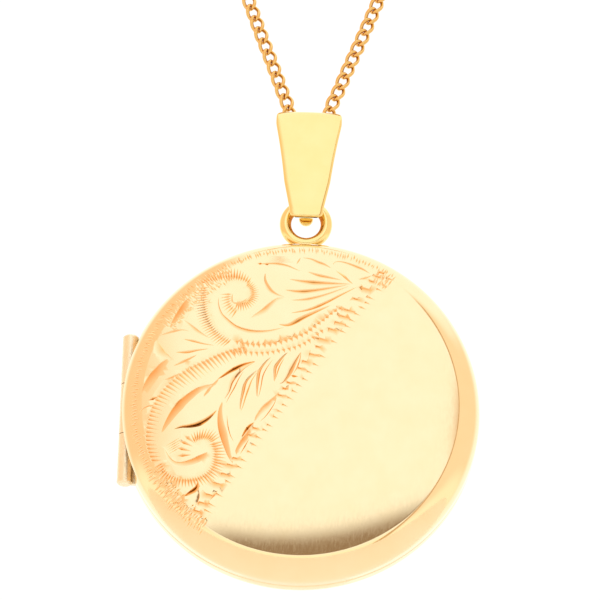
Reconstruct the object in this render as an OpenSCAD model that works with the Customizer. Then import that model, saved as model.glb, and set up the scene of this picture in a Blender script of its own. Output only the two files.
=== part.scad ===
// Round hinged locket on a tapered folded bail, with the piece of neck chain it hangs on.
// Millimetres. The origin is the middle of the chain where it sits in the crest of the bail.
// +X is to the right of someone facing the locket, +Y is behind it and +Z is up.

/* [Case] */
// Diameter of the case
case_d = 25; // [21:0.5:31]
// Depth of each half, from the seam to the crown of its dome
half_depth = 3.2; // [2.7:0.1:3.9]
// Height of the straight band beside the seam
band_h = 0.62; // [0.6:0.02:0.8]
// Radius of the rounded shoulder between band and dome
shoulder_r = 1.8; // [1.5:0.1:2]
// Thickness of the case sheet
sheet_t = 0.38; // [0.3:0.02:0.46]
// Open seam between the two halves
seam_gap = 0.04; // [0.02:0.01:0.08]

/* [Hinge] */
// Length of the whole hinge barrel
hinge_l = 11; // [8:0.5:13]
// Radius of a knuckle
knuckle_r = 0.55; // [0.45:0.05:0.65]
// Radius of the hinge pin
pin_r = 0.22; // [0.18:0.01:0.26]
// Radial play of the pin in the cover's knuckle
pin_play = 0.03; // [0.02:0.01:0.05]
// Space between neighbouring knuckles
knuckle_gap = 0.06; // [0.04:0.01:0.12]
// Distance from the hinge axis out to the case's widest line
hinge_inset = 0.5; // [0.4:0.05:0.6]

/* [Picture wells] */
// Width of the flat border between the case sheet and the picture well
border_w = 1.82; // [1.8:0.02:4]
// Thickness of the picture card
picture_t = 0.2; // [0.1:0.05:0.3]
// Thickness of the clear window
window_t = 0.25; // [0.15:0.05:0.35]
// Depth of the loose frame that holds the window in
frame_t = 0.45; // [0.3:0.05:0.55]
// Width of the loose frame
frame_w = 0.75; // [0.6:0.05:1.2]
// Radial play of the pieces in the well
well_play = 0.05; // [0.03:0.01:0.1]
// Thickness of the well's wall
well_wall = 0.3; // [0.2:0.05:0.5]
// Height of the rim that stands out of the back half and snaps into the cover
rim_h = 0.34; // [0.2:0.02:0.34]

/* [Pendant ring] */
// Radius of the ring, measured to the middle of its wire
ring_r = 1.45; // [1.4:0.05:1.7]
// Radius of the ring's wire
ring_wire_r = 0.415; // [0.35:0.005:0.45]
// Width of the saddle that the ring is soldered to
seat_w = 1.5; // [1:0.1:2]
// Space between the ring and the case, filled by the saddle
seat_h = 0.165; // [0.1:0.005:0.25]

/* [Bail] */
// Outer radius of the bail's crest and of its lower bend
bail_r = 1.1; // [1:0.05:1.3]
// Thickness of the bail sheet
bail_t = 0.36; // [0.3:0.02:0.4]
// Width of the bail across its crest
bail_top_w = 4.68; // [3.8:0.02:5.6]
// Width of the bail near its lower edge
bail_low_w = 2.4; // [2:0.05:2.6]
// Width of the bail at its waist
bail_waist_w = 3.27; // [2.6:0.01:3.7]
// Distance from the chain down to the front leaf's lower edge
bail_l = 7.47; // [6:0.01:9]
// Height of the waist above the lower edge
waist_h = 2.69; // [1.5:0.01:4]
// Height of the leaf's straight foot
foot_h = 0.6; // [0.4:0.05:1]
// How far the front leaf hangs below the top of the pendant ring
leaf_hang = 1.25; // [1.1:0.05:1.4]
// Width of the strap behind and through the ring
strap_w = 1; // [0.8:0.05:1.1]

/* [Chain] */
// Width of the curb chain
chain_w = 1.05; // [0.9:0.01:1.05]
// Space between the chain and the crest of the bail
chain_play = 0.025; // [0.02:0.005:0.05]

/* [Clasp] */
// Outer diameter of the bolt ring
clasp_d = 5; // [4.6:0.1:7]
// Radius of the bolt ring's tube
clasp_tube_r = 0.55; // [0.5:0.05:0.65]
// Radius of the sliding bolt
bolt_r = 0.32; // [0.25:0.01:0.36]
// Radial play of the bolt in its tube
bolt_play = 0.04; // [0.03:0.01:0.06]
// Angle of the mouth that the bolt closes
mouth_deg = 40; // [30:1:42]
// Radius of the jump ring between chain and clasp
jump_r = 0.8; // [0.7:0.05:1]
// Radius of the jump rings' wire
jump_wire_r = 0.16; // [0.12:0.01:0.18]
// Radius of the plain ring on the chain's other end
end_ring_r = 1.2; // [1:0.05:1.6]
// Radius of that ring's wire
end_ring_wire_r = 0.19; // [0.14:0.01:0.22]

/* [Hidden] */

GOLD = "#f5cf7a";
CHAIN_GOLD = "#e0a348";
CARD = "#efe6d2";
CLEAR = "#dfe9ee";
STEEL = "#b8bcc0";

// Facets of ordinary rounds, of small rounds and of the dome's very large circle.
ROUND = 96;
SMALL = 48;
DOME_ROUND = 1440;
// Overrun of a cutting body past the face it cuts.
over = 1;

// Case outline: the dome's circle touches one a hair smaller than the shoulder's, from the inside,
// so that dome and shoulder cross instead of only touching.
case_r = case_d / 2;
touch_r = shoulder_r - 0.0005;
shoulder_x = case_r - shoulder_r;
shoulder_drop = band_h - half_depth;
dome_r = (touch_r * touch_r - shoulder_drop * shoulder_drop - shoulder_x * shoulder_x)
         / (2 * (shoulder_drop + touch_r));
shoulder_deg = asin(shoulder_x / (dome_r - touch_r));
inner_r = case_r - sheet_t;

// Hinge, measured from the middle of the case.
hinge_x = -(case_r - hinge_inset);
knuckle_l = (hinge_l - 2 * knuckle_gap) / 3;
knuckle_clear = 0.2;
chord_x = hinge_x + knuckle_r + knuckle_clear;
notch_clear = 0.75;
notch_h = knuckle_r + notch_clear;
web_t = 0.4;
knuckle_chamfer = 0.14;

// Picture wells, measured inwards from the seam.
plate_t = 0.22;
plate_top = band_h - plate_t;
frame_proud = 0.05;
frame_top = plate_top - frame_proud;
window_top = frame_top + frame_t;
picture_top = window_top + window_t;
ledge_top = picture_top + picture_t;
picture_r = inner_r - border_w - well_wall - well_play;
well_r = picture_r + well_play;
ledge_w = 0.7;
ledge_t = 0.2;
rim_w = 0.4;
rim_play = 0.06;
rim_chamfer = 0.06;
rim_gap = 0.95;
rim_end_x = chord_x + rim_gap;

// Bail, ring and case stand under the chain.
bail_in_r = bail_r - bail_t;
crest_z = chain_w / 2 + chain_play - bail_in_r;
ring_play = 0.025;
ring_hole_r = ring_r - ring_wire_r;
strap_sink = ring_hole_r - sqrt(ring_hole_r * ring_hole_r - strap_w * strap_w / 4);
ring_top_z = leaf_hang - bail_l;
bend_z = ring_top_z - ring_wire_r - strap_sink - ring_play + bail_in_r;
ring_z = ring_top_z - ring_r;
seat_grip = 0.2;
case_y = -0.5;
case_z = ring_z - ring_r - ring_wire_r - seat_h - case_r;
bail_corner_r = 0.3;
tip_drop = 0.05;
strap_flare = 0.1;
crest_strap_w = strap_w + strap_flare;
// The wide leaf narrows to the strap between these places in front of the chain.
shoulder_z = crest_z - 0.2;
crest_back_y = 0.64;
crest_turn_y = 0.4;
crest_turn_in = 0.23;

// The taut chain's right half, from the bail up to its end. The left half mirrors it.
chain_half = [[0, 0, 0], [0.4, 0.02, -0.01], [0.8, 0.12, -0.02], [1.1, 0.38, 0],
              [1.3, 0.75, 0.25], [1.38, 0.98, 0.7], [1.42, 1.02, 1.25], [1.6, 1, 2],
              [2, 1, 3], [2.55, 1, 4.5], [3.12, 1, 6], [3.7, 1, 7.5], [4.25, 1, 9],
              [4.8, 1, 10.5], [5.35, 1, 12], [6.05, 1, 14]];
chain_sides = 8;
chain_steps = 2;

// Clasp angles, from the clasp's right-hand side round over its top.
clasp_r = clasp_d / 2 - clasp_tube_r;
mouth_start = 60;
mouth_end = mouth_start + mouth_deg;
cut_deg = 1;
bolt_lap = 6;
bolt_end_deg = 2;
bolt_travel = mouth_deg + bolt_lap;
stub_back_deg = 25;
stub_deg = mouth_end + stub_back_deg;
stub_r = 0.2;
stub_l = 0.5;
stub_knob_r = 0.32;
slot_play = 0.06;
slot_pad_deg = 7.5;
tail_deg = 45;
bolt_tail = stub_deg + tail_deg;
spring_room_deg = 26;
bore_end = bolt_tail + bolt_travel + spring_room_deg;
spring_gap_deg = 2.2;
spring_turns = 5;
spring_wire_r = 0.045;
eye_r = 0.55;
eye_wire_r = 0.18;
link_play = 0.02;
link_lap = 0.3;
eye_sink = 0.27;
jump_z = jump_r - link_lap;
eye_z = jump_z + jump_r - jump_wire_r - eye_wire_r - link_play + eye_r;
clasp_z = eye_z + eye_r + eye_wire_r - eye_sink + clasp_d / 2;

function vlen(v) = sqrt(v * v);
function unit(v) = v / vlen(v);
function mirrored(p) = [-p[0], p[1], p[2]];
function last(list) = list[len(list) - 1];

// Whole chain route, left end first.
chain_route = concat([for (i = [len(chain_half) - 1:-1:1]) mirrored(chain_half[i])], chain_half);
chain_end = last(chain_half);
chain_end_dir = unit(chain_end - chain_half[len(chain_half) - 2]);
chain_lean = atan2(chain_end_dir[0], chain_end_dir[2]);

// One point of a smooth curve through four neighbouring points.
function between(a, b, c, d, t) =
    0.5 * (2 * b + (c - a) * t + (2 * a - 5 * b + 4 * c - d) * t * t
           + (3 * b - a - 3 * c + d) * t * t * t);

// A route with extra points on the smooth curve between its own points.
function smooth(route, steps) = let (n = len(route)) concat(
    [for (i = [0:n - 2], s = [0:steps - 1])
        between(route[max(i - 1, 0)], route[i], route[i + 1], route[min(i + 2, n - 1)], s / steps)],
    [last(route)]);

function heading(route, i) = unit(route[min(i + 1, len(route) - 1)] - route[max(i - 1, 0)]);

// A round tube swept along a route. side_ref must never point along the route.
module tube(route, r, sides, side_ref) {
    n = len(route);
    points = [for (i = [0:n - 1])
        let (t = heading(route, i), u = unit(cross(t, side_ref)), v = cross(t, u))
        for (k = [0:sides - 1])
            route[i] + r * (cos(360 * k / sides) * u + sin(360 * k / sides) * v)];
    faces = concat(
        [for (i = [0:n - 2], k = [0:sides - 1])
            [i * sides + k, i * sides + (k + 1) % sides,
             (i + 1) * sides + (k + 1) % sides, (i + 1) * sides + k]],
        [[for (k = [sides - 1:-1:0]) k]],
        [[for (k = [0:sides - 1]) (n - 1) * sides + k]]);
    polyhedron(points, faces);
}

// A ring of round wire about the Y axis, from one angle to another.
module wire_arc(r, wire_r, from_deg, to_deg) {
    rotate([90, -from_deg, 0])
        rotate_extrude(angle = to_deg - from_deg, $fn = ROUND)
            translate([r, 0])
                circle(r = wire_r, $fn = SMALL);
}

module wire_ring(r, wire_r) {
    rotate([90, 0, 0])
        rotate_extrude($fn = ROUND)
            translate([r, 0])
                circle(r = wire_r, $fn = SMALL);
}

module at_case() {
    translate([0, case_y, case_z])
        children();
}

// Turns a piece drawn over the seam plane, crown up, into each half's place.
module front_half() {
    at_case()
        rotate([90, 0, 0])
            children();
}

module back_half() {
    at_case()
        rotate([-90, 0, 0])
            children();
}

// Half section of one case half, set in from its outer surface.
module half_section(inset) {
    reach = 2 * shoulder_r;
    low = inset > 0 ? -over : seam_gap / 2;
    intersection() {
        translate([0, low])
            square([case_r - inset, half_depth - low]);
        translate([0, half_depth - dome_r])
            circle(r = dome_r - inset, $fn = DOME_ROUND);
        union() {
            polygon([[0, low], [case_r - inset, low], [case_r - inset, band_h],
                     [shoulder_x, band_h],
                     [shoulder_x + reach * sin(shoulder_deg), band_h + reach * cos(shoulder_deg)],
                     [0, band_h + reach * cos(shoulder_deg)]]);
            translate([shoulder_x, band_h])
                circle(r = shoulder_r - inset, $fn = 4 * ROUND);
        }
    }
}

module half_solid(inset) {
    rotate_extrude($fn = 2 * ROUND)
        half_section(inset);
}

// Room for the hinge barrel, in a half drawn crown up.
module hinge_notch(grow) {
    far_x = case_r + over;
    half_l = hinge_l / 2 + knuckle_gap + grow;
    translate([-far_x, -half_l, -over])
        cube([far_x + chord_x + grow, 2 * half_l, over + notch_h + grow]);
}

module half_shell() {
    difference() {
        half_solid(0);
        hinge_notch(0);
        difference() {
            half_solid(sheet_t);
            hinge_notch(sheet_t);
        }
    }
}

// Flat plate that closes the half round its picture well, with the well's wall and ledge.
module mouth_plate() {
    outer = well_r + well_wall;
    bottom = ledge_top + ledge_t;
    difference() {
        rotate_extrude($fn = 2 * ROUND)
            polygon([[well_r, plate_top], [inner_r, plate_top], [inner_r, band_h],
                     [outer, band_h], [outer, bottom],
                     [well_r - ledge_w, bottom], [well_r - ledge_w, ledge_top],
                     [well_r, ledge_top]]);
        translate([-case_r - over, -case_r, 0])
            cube([case_r + over + chord_x + sheet_t, case_d, half_depth]);
    }
}

module disc(top, thickness) {
    translate([0, 0, top])
        cylinder(h = thickness, r = picture_r - well_play, $fn = 2 * ROUND);
}

// Loose ring with a bevelled inner edge.
module picture_frame() {
    lip = frame_w / 3;
    rotate_extrude($fn = 2 * ROUND)
        polygon([[picture_r - frame_w, window_top], [picture_r - frame_w, window_top - frame_t / 3],
                 [picture_r - frame_w + lip, frame_top], [picture_r - lip / 2, frame_top],
                 [picture_r, frame_top + lip / 2], [picture_r, window_top]]);
}

// One hinge knuckle from z0 to z1, joined to its half on one side of the seam.
module knuckle(z0, z1, bore_r, side, chamfer_low, chamfer_high) {
    low = chamfer_low ? knuckle_chamfer : 0;
    high = chamfer_high ? knuckle_chamfer : 0;
    at_case()
        translate([hinge_x, 0, 0])
            difference() {
                union() {
                    rotate_extrude($fn = ROUND)
                        polygon([[0, z0], [knuckle_r - low, z0], [knuckle_r, z0 + low],
                                 [knuckle_r, z1 - high], [knuckle_r - high, z1], [0, z1]]);
                    translate([0, side > 0 ? knuckle_r - web_t : -knuckle_r, z0 + low])
                        cube([knuckle_r + knuckle_clear, web_t, z1 - z0 - low - high]);
                }
                translate([0, 0, z0 - over])
                    cylinder(h = z1 - z0 + 2 * over, r = bore_r, $fn = SMALL);
            }
}

// Side view of the bail: a long loop with both leaves running on past the lower bend.
module bail_side() {
    difference() {
        union() {
            for (z = [crest_z, bend_z])
                translate([0, z])
                    circle(r = bail_r, $fn = ROUND);
            translate([-bail_r, bend_z])
                square([2 * bail_r, crest_z - bend_z]);
            translate([-bail_r, -bail_l])
                square([bail_t, bail_l + bend_z]);
            translate([bail_in_r, tip_drop - bail_l])
                square([bail_t, bail_l - tip_drop + bend_z]);
        }
        for (z = [crest_z, bend_z])
            translate([0, z])
                circle(r = bail_in_r, $fn = ROUND);
        translate([-bail_in_r, bend_z])
            square([2 * bail_in_r, crest_z - bend_z]);
    }
}

// Front view of the wide leaf, broad at the crest and narrower below.
module leaf_front() {
    top = bail_top_w / 2;
    mid = bail_waist_w / 2;
    low = bail_low_w / 2;
    nick = bail_corner_r / 3;
    half = [[top, bail_r], [top, shoulder_z], [mid, waist_h - bail_l], [low, foot_h - bail_l],
            [low - nick, nick - bail_l], [low - bail_corner_r, -bail_l]];
    polygon(concat(half, [for (i = [len(half) - 1:-1:0]) [-half[i][0], half[i][1]]]));
}

// Front view of the narrow strap behind, with a round tip.
module strap_front() {
    tip_z = tip_drop - bail_l + strap_w / 2;
    polygon([[-crest_strap_w / 2, bail_r], [crest_strap_w / 2, bail_r],
             [strap_w / 2, tip_z], [-strap_w / 2, tip_z]]);
    translate([0, tip_z])
        circle(d = strap_w, $fn = SMALL);
}

// Top view of the crest, where the wide leaf narrows to the strap behind it.
module crest_plan() {
    wide = bail_top_w / 2;
    narrow = crest_strap_w / 2;
    half = [[wide, -2 * bail_r], [wide, -crest_back_y], [wide - crest_turn_in, -crest_turn_y],
            [narrow, 0]];
    polygon(concat(half, [for (i = [len(half) - 1:-1:0]) [-half[i][0], half[i][1]]]));
}

module bail() {
    join_z = (crest_z + bend_z) / 2;
    color(GOLD)
        intersection() {
            rotate([90, 0, 90])
                linear_extrude(height = 2 * bail_top_w, center = true)
                    bail_side();
            union() {
                intersection() {
                    translate([0, 2 * bail_r, 0])
                        rotate([90, 0, 0])
                            linear_extrude(height = 4 * bail_r)
                                leaf_front();
                    union() {
                        translate([0, 0, join_z])
                            linear_extrude(height = bail_l)
                                crest_plan();
                        translate([-bail_top_w, -2 * bail_r, -2 * bail_l])
                            cube([2 * bail_top_w, 2 * bail_r - bail_in_r, 2 * bail_l]);
                    }
                }
                translate([0, 2 * bail_r, 0])
                    rotate([90, 0, 0])
                        linear_extrude(height = 2 * bail_r + bail_in_r + bail_t / 2)
                            strap_front();
            }
        }
}

module pendant_ring_solid() {
    translate([0, 0, ring_z])
        wire_ring(ring_r, ring_wire_r);
}

module pendant_ring() {
    color(GOLD)
        pendant_ring_solid();
}

// Saddle between the ring and the back half, shaped to both.
module ring_seat() {
    bottom = case_z + case_r - seat_grip;
    color(GOLD)
        difference() {
            translate([-seat_w / 2, -ring_wire_r, bottom])
                cube([seat_w, 2 * ring_wire_r, 2 * seat_grip + seat_h]);
            back_half()
                half_solid(0);
            pendant_ring_solid();
        }
}

module back_cover() {
    color(GOLD)
        back_half()
            half_shell();
}

module front_cover() {
    color(GOLD)
        front_half()
            half_shell();
}

module back_mouth_plate() {
    color(GOLD)
        back_half()
            mouth_plate();
}

module front_mouth_plate() {
    color(GOLD)
        front_half()
            mouth_plate();
}

module back_picture() {
    color(CARD)
        back_half()
            disc(picture_top, picture_t);
}

module front_picture() {
    color(CARD)
        front_half()
            disc(picture_top, picture_t);
}

module back_window() {
    color(CLEAR, 0.4)
        back_half()
            disc(window_top, window_t);
}

module front_window() {
    color(CLEAR, 0.4)
        front_half()
            disc(window_top, window_t);
}

module back_picture_frame() {
    color(GOLD)
        back_half()
            picture_frame();
}

module front_picture_frame() {
    color(GOLD)
        front_half()
            picture_frame();
}

// Upstanding rim of the back half, cut away beside the hinge.
module snap_rim() {
    outer = inner_r - rim_play;
    color(GOLD)
        back_half()
            difference() {
                rotate_extrude($fn = 2 * ROUND)
                    polygon([[inner_r - rim_w, plate_top], [inner_r - rim_w, -rim_h],
                             [outer - rim_chamfer, -rim_h], [outer, rim_chamfer - rim_h],
                             [outer, seam_gap / 2], [inner_r, seam_gap / 2],
                             [inner_r, plate_top]]);
                translate([-case_r - over, -case_r, -over])
                    cube([case_r + over + rim_end_x, case_d, 2 * over]);
            }
}

module back_knuckle_upper() {
    color(GOLD)
        knuckle(knuckle_l / 2 + knuckle_gap, hinge_l / 2, pin_r, 1, false, true);
}

module back_knuckle_lower() {
    color(GOLD)
        knuckle(-hinge_l / 2, -knuckle_l / 2 - knuckle_gap, pin_r, 1, true, false);
}

module front_knuckle() {
    color(GOLD)
        knuckle(-knuckle_l / 2, knuckle_l / 2, pin_r + pin_play, -1, false, false);
}

module hinge_pin() {
    color(GOLD)
        at_case()
            translate([hinge_x, 0, -hinge_l / 2])
                cylinder(h = hinge_l, r = pin_r, $fn = SMALL);
}

module chain() {
    color(CHAIN_GOLD)
        tube(smooth(chain_route, chain_steps), chain_w / 2, chain_sides, [0, 1, 0]);
}

// The clasp hangs from the chain's left end, its own Z along the chain.
module at_left_end() {
    translate(mirrored(chain_end))
        rotate([0, -chain_lean, 0])
            children();
}

module at_clasp() {
    at_left_end()
        translate([0, 0, clasp_z])
            children();
}

module clasp_jump_ring() {
    color(CHAIN_GOLD)
        at_left_end()
            translate([0, 0, jump_z])
                rotate([0, 0, 90])
                    wire_ring(jump_r, jump_wire_r);
}

// Hollow tube ring with a mouth, a slot for the bolt's stub and an eye for the jump ring.
module clasp_ring() {
    bore_r = bolt_r + bolt_play;
    slot_h = stub_r + slot_play;
    color(GOLD) {
        at_clasp()
            difference() {
                wire_arc(clasp_r, clasp_tube_r, mouth_end, mouth_start + 360);
                wire_arc(clasp_r, bore_r, mouth_end - cut_deg, bore_end);
                wire_arc(clasp_r, bore_r, mouth_start - bolt_lap - bolt_end_deg, mouth_start + cut_deg);
                rotate([90, slot_pad_deg - stub_deg, 0])
                    rotate_extrude(angle = bolt_travel + 2 * slot_pad_deg, $fn = ROUND)
                        translate([clasp_r, -slot_h])
                            square([clasp_tube_r + over, 2 * slot_h]);
            }
        at_left_end()
            difference() {
                translate([0, 0, eye_z])
                    wire_ring(eye_r, eye_wire_r);
                translate([0, 0, clasp_z])
                    wire_ring(clasp_r, (clasp_tube_r + bore_r) / 2);
            }
    }
}

// Curved bolt that closes the mouth, with the stub that a fingernail draws back.
module clasp_bolt() {
    color(GOLD)
        at_clasp() {
            wire_arc(clasp_r, bolt_r, mouth_start - bolt_lap, bolt_tail);
            rotate([0, 90 - stub_deg, 0]) {
                translate([0, 0, clasp_r])
                    cylinder(h = clasp_tube_r + stub_l, r = stub_r, $fn = SMALL);
                translate([0, 0, clasp_r + clasp_tube_r + stub_l])
                    sphere(r = stub_knob_r, $fn = SMALL);
            }
        }
}

// Coil spring behind the bolt, drawn pressed together.
module clasp_spring() {
    start = bore_end - spring_gap_deg;
    sweep = spring_room_deg - 2 * spring_gap_deg;
    coil_r = bolt_r - spring_wire_r;
    per_turn = 12;
    route = [for (i = [0:spring_turns * per_turn])
        let (a = start - sweep * i / (spring_turns * per_turn), p = 360 * i / per_turn,
             r = clasp_r + coil_r * cos(p))
        [r * cos(a), coil_r * sin(p), r * sin(a)]];
    color(STEEL)
        at_clasp()
            tube(route, spring_wire_r, 6, [sin(start - sweep / 2), 0, -cos(start - sweep / 2)]);
}

module end_ring() {
    color(CHAIN_GOLD)
        translate(chain_end)
            rotate([0, chain_lean, 0])
                translate([0, 0, end_ring_r - link_lap])
                    wire_ring(end_ring_r, end_ring_wire_r);
}

chain();
clasp_jump_ring();
clasp_ring();
clasp_bolt();
clasp_spring();
end_ring();
bail();
pendant_ring();
ring_seat();
back_cover();
back_mouth_plate();
back_picture();
back_window();
back_picture_frame();
snap_rim();
back_knuckle_upper();
back_knuckle_lower();
hinge_pin();
front_cover();
front_mouth_plate();
front_picture();
front_window();
front_picture_frame();
front_knuckle();
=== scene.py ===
"""Looks of a round engraved gold locket on a folded bail and a fine curb chain.

Every size is in millimetres until a mesh is made, where MM turns it to metres. The places come from
the frame: X to the right of someone facing the engraved cover, Y behind it, Z up.
"""

import math
import random

import bmesh
import bpy
import numpy as np
from mathutils import Matrix, Vector, geometry


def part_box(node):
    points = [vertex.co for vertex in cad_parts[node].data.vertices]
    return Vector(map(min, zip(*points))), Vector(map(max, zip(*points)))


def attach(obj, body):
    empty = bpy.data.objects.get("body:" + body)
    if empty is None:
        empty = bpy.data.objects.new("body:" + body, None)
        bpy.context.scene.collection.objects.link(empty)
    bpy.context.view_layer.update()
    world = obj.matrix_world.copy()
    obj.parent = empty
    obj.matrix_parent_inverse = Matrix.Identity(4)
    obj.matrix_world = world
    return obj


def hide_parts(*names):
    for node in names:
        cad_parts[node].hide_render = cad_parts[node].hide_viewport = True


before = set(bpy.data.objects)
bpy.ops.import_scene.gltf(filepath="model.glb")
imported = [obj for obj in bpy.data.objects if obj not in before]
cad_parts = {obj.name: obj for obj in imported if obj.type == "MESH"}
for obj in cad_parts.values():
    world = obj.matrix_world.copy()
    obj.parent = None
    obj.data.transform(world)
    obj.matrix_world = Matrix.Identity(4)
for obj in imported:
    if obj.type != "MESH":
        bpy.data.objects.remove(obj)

bl_info = {
    "name": "Engraved locket",
    "version": (1, 0, 0),
    "blender": (4, 5, 0),
    "location": "3D View > Sidebar > Locket",
    "description": "Makes the covers, bail, chain, finishes and studio of a round engraved locket",
    "category": "Add Mesh",
}

MM = 0.001


def linear(code):
    """An sRGB hex colour as linear red, green, blue and full alpha."""
    channels = [int(code[i:i + 2], 16) / 255 for i in (1, 3, 5)]
    curve = [c / 12.92 if c <= 0.04045 else ((c + 0.055) / 1.055) ** 2.4 for c in channels]
    return (*curve, 1.0)


def box(name):
    """Lowest and highest corner of a CAD node, in millimetres."""
    low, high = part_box(name)
    return np.array(low) / MM, np.array(high) / MM


# ---------------------------------------------------------------- sizes taken from the frame

FRONT_LOW, FRONT_HIGH = box("front_cover")
BACK_LOW = box("back_cover")[0]
RING_LOW, RING_HIGH = box("pendant_ring")
BAIL_LOW, BAIL_HIGH = box("bail")
KNUCKLE_LOW, KNUCKLE_HIGH = box("front_knuckle")
UPPER_LOW, UPPER_HIGH = box("back_knuckle_upper")
LOWER_LOW = box("back_knuckle_lower")[0]

CASE_R = (FRONT_HIGH[2] - FRONT_LOW[2]) / 2
CASE_Z = (FRONT_HIGH[2] + FRONT_LOW[2]) / 2
SEAM_Y = (FRONT_HIGH[1] + BACK_LOW[1]) / 2
SEAM_HALF_GAP = (BACK_LOW[1] - FRONT_HIGH[1]) / 2
HALF_DEPTH = SEAM_Y - FRONT_LOW[1]
CASE_CENTRE = np.array([0.0, SEAM_Y, CASE_Z])

KNUCKLE_R = -KNUCKLE_LOW[1] + SEAM_Y
HINGE_HALF_L = (UPPER_HIGH[2] - LOWER_LOW[2]) / 2
KNUCKLE_GAP = UPPER_LOW[2] - KNUCKLE_HIGH[2]
CHORD_X = KNUCKLE_HIGH[0]

RING_WIRE_R = RING_HIGH[1]
RING_R = RING_HIGH[0] - RING_WIRE_R
RING_Z = (RING_HIGH[2] + RING_LOW[2]) / 2

BAIL_R = BAIL_HIGH[1]
CREST_Z = BAIL_HIGH[2] - BAIL_R
LEAF_END_Z = BAIL_LOW[2]
LEAF_HALF_W = BAIL_HIGH[0]


# ---------------------------------------------------------------- sizes and colours a user may change

def length_prop(name, description, default):
    """A length property. Its default is given in millimetres."""
    return bpy.props.FloatProperty(name=name, description=description, default=default * MM, min=0.0,
                                   precision=5, unit="LENGTH")


def colour_prop(name, description, code):
    """A colour property. Its default is given as sRGB hex."""
    return bpy.props.FloatVectorProperty(name=name, description=description, subtype="COLOR",
                                         size=4, min=0.0, max=1.0, default=linear(code))


def amount_prop(name, description, default):
    """A plain number that is never negative."""
    return bpy.props.FloatProperty(name=name, description=description, default=default, min=0.0)


class CoverSettings(bpy.types.PropertyGroup):
    sheet: length_prop("Sheet", "Thickness of the case sheet", 0.38)
    band: length_prop("Band", "Height of the straight band beside the seam", 0.62)
    shoulder: length_prop("Shoulder", "Radius between the band and the dome", 1.8)
    seam_round: length_prop("Seam edge", "Rounding of the edge at the seam", 0.08)
    cut_scale: amount_prop("Cut depth", "Multiplies the depth of every engraved cut", 1.0)


class BailSettings(bpy.types.PropertyGroup):
    sheet: length_prop("Sheet", "Thickness of the bail sheet", 0.36)
    edge: length_prop("Edge", "Rounding of the bail's edges", 0.13)
    crown: length_prop("Crown", "How far the leaf's sides fall back from its middle", 0.1)
    strap: length_prop("Strap", "Width of the strap behind", 1.0)


class ChainSettings(bpy.types.PropertyGroup):
    wire: length_prop("Wire", "Diameter of the link wire", 0.27)
    width: length_prop("Width", "Width of the flattened curb chain", 1.05)
    twist: bpy.props.FloatProperty(name="Twist", description="Turn of a link from its middle to its end",
                                   default=math.radians(52), subtype="ANGLE")


class GoldSettings(bpy.types.PropertyGroup):
    pale: colour_prop("Pale gold", "Colour of the polished case", "#F9E5BB")
    # Colour of the painted shade in the engraved cuts.
    deep: colour_prop("Deep gold", "Colour on the floor of the engraved cuts", "#EFB46E")
    chain: colour_prop("Chain gold", "Colour of the chain", "#EFCB85")
    polish: amount_prop("Polish", "Roughness of the buffed gold", 0.07)


class StudioSettings(bpy.types.PropertyGroup):
    tent_r: bpy.props.FloatProperty(name="Tent", description="Radius of the light tent", default=0.7,
                                    unit="LENGTH")
    light: amount_prop("Light", "Brightness of the tent's white cloth", 1.22)
    white: colour_prop("White cloth", "Colour of the tent", "#FFFFFF")
    warm: colour_prop("Warm cloth", "Colour at the left side of the tent", "#FBD6B8")
    flank: colour_prop("Right cloth", "Colour at the right side of the tent", "#F5E2CC")
    shade: colour_prop("Shade", "Colour of the low dark edge in front", "#907A66")
    floor: colour_prop("Floor", "Colour of the floor", "#FAFAF8")


GROUPS = {
    "locket_cover": CoverSettings,
    "locket_bail": BailSettings,
    "locket_chain": ChainSettings,
    "locket_gold": GoldSettings,
    "locket_studio": StudioSettings,
}


def settings(name):
    return getattr(bpy.context.scene, name)


# ---------------------------------------------------------------- mesh helpers

# Steps between two given points of a curve, before it is cut to even lengths.
CURVE_STEPS = 24


def linked(name, data):
    """An object of that data, in the scene."""
    made = bpy.data.objects.new(name, data)
    bpy.context.scene.collection.objects.link(made)
    return made


def new_piece(name, vertices, faces, body, finish, smooth_deg, at=(0.0, 0.0, 0.0)):
    """A piece from points in millimetres, which rides on a body of the frame."""
    mesh = bpy.data.meshes.new(name)
    points = (np.asarray(vertices, float) + np.asarray(at, float)) * MM
    mesh.from_pydata(points.tolist(), [], [list(map(int, f)) for f in faces])
    return finish_piece(name, mesh, body, finish, smooth_deg)


def finish_piece(name, mesh, body, finish, smooth_deg):
    """A piece from a mesh in metres, smooth except at edges sharper than smooth_deg."""
    mesh.validate()
    mesh.polygons.foreach_set("use_smooth", [True] * len(mesh.polygons))
    mesh.set_sharp_from_angle(angle=math.radians(smooth_deg))
    mesh.materials.clear()
    mesh.materials.append(finish_of(finish))
    mesh.update()
    piece = linked(name, mesh)
    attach(piece, body)
    return piece


def paint_shade(mesh, amounts):
    """Marks how much painted shade shows at each point: from 0 to 1 towards the deeper orange, and from 1
    to 2 towards dark brown.
    """
    mesh.attributes.new("cut", "FLOAT", "POINT").data.foreach_set("value", amounts)


def read(items, key, width=1, kind=float):
    """One property of all the items of a mesh, with a row for each item."""
    values = np.zeros(len(items) * width, kind)
    items.foreach_get(key, values)
    return values.reshape(-1, width) if width > 1 else values


def outward(mesh):
    """Turns every face of a closed mesh outward."""
    work = bmesh.new()
    work.from_mesh(mesh)
    bmesh.ops.recalc_face_normals(work, faces=work.faces)
    work.to_mesh(mesh)
    work.free()


def walked_along(line):
    """Distance of each point of a line from its start."""
    return np.concatenate([[0], np.cumsum(np.linalg.norm(np.diff(line, axis=0), axis=1))])


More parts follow.
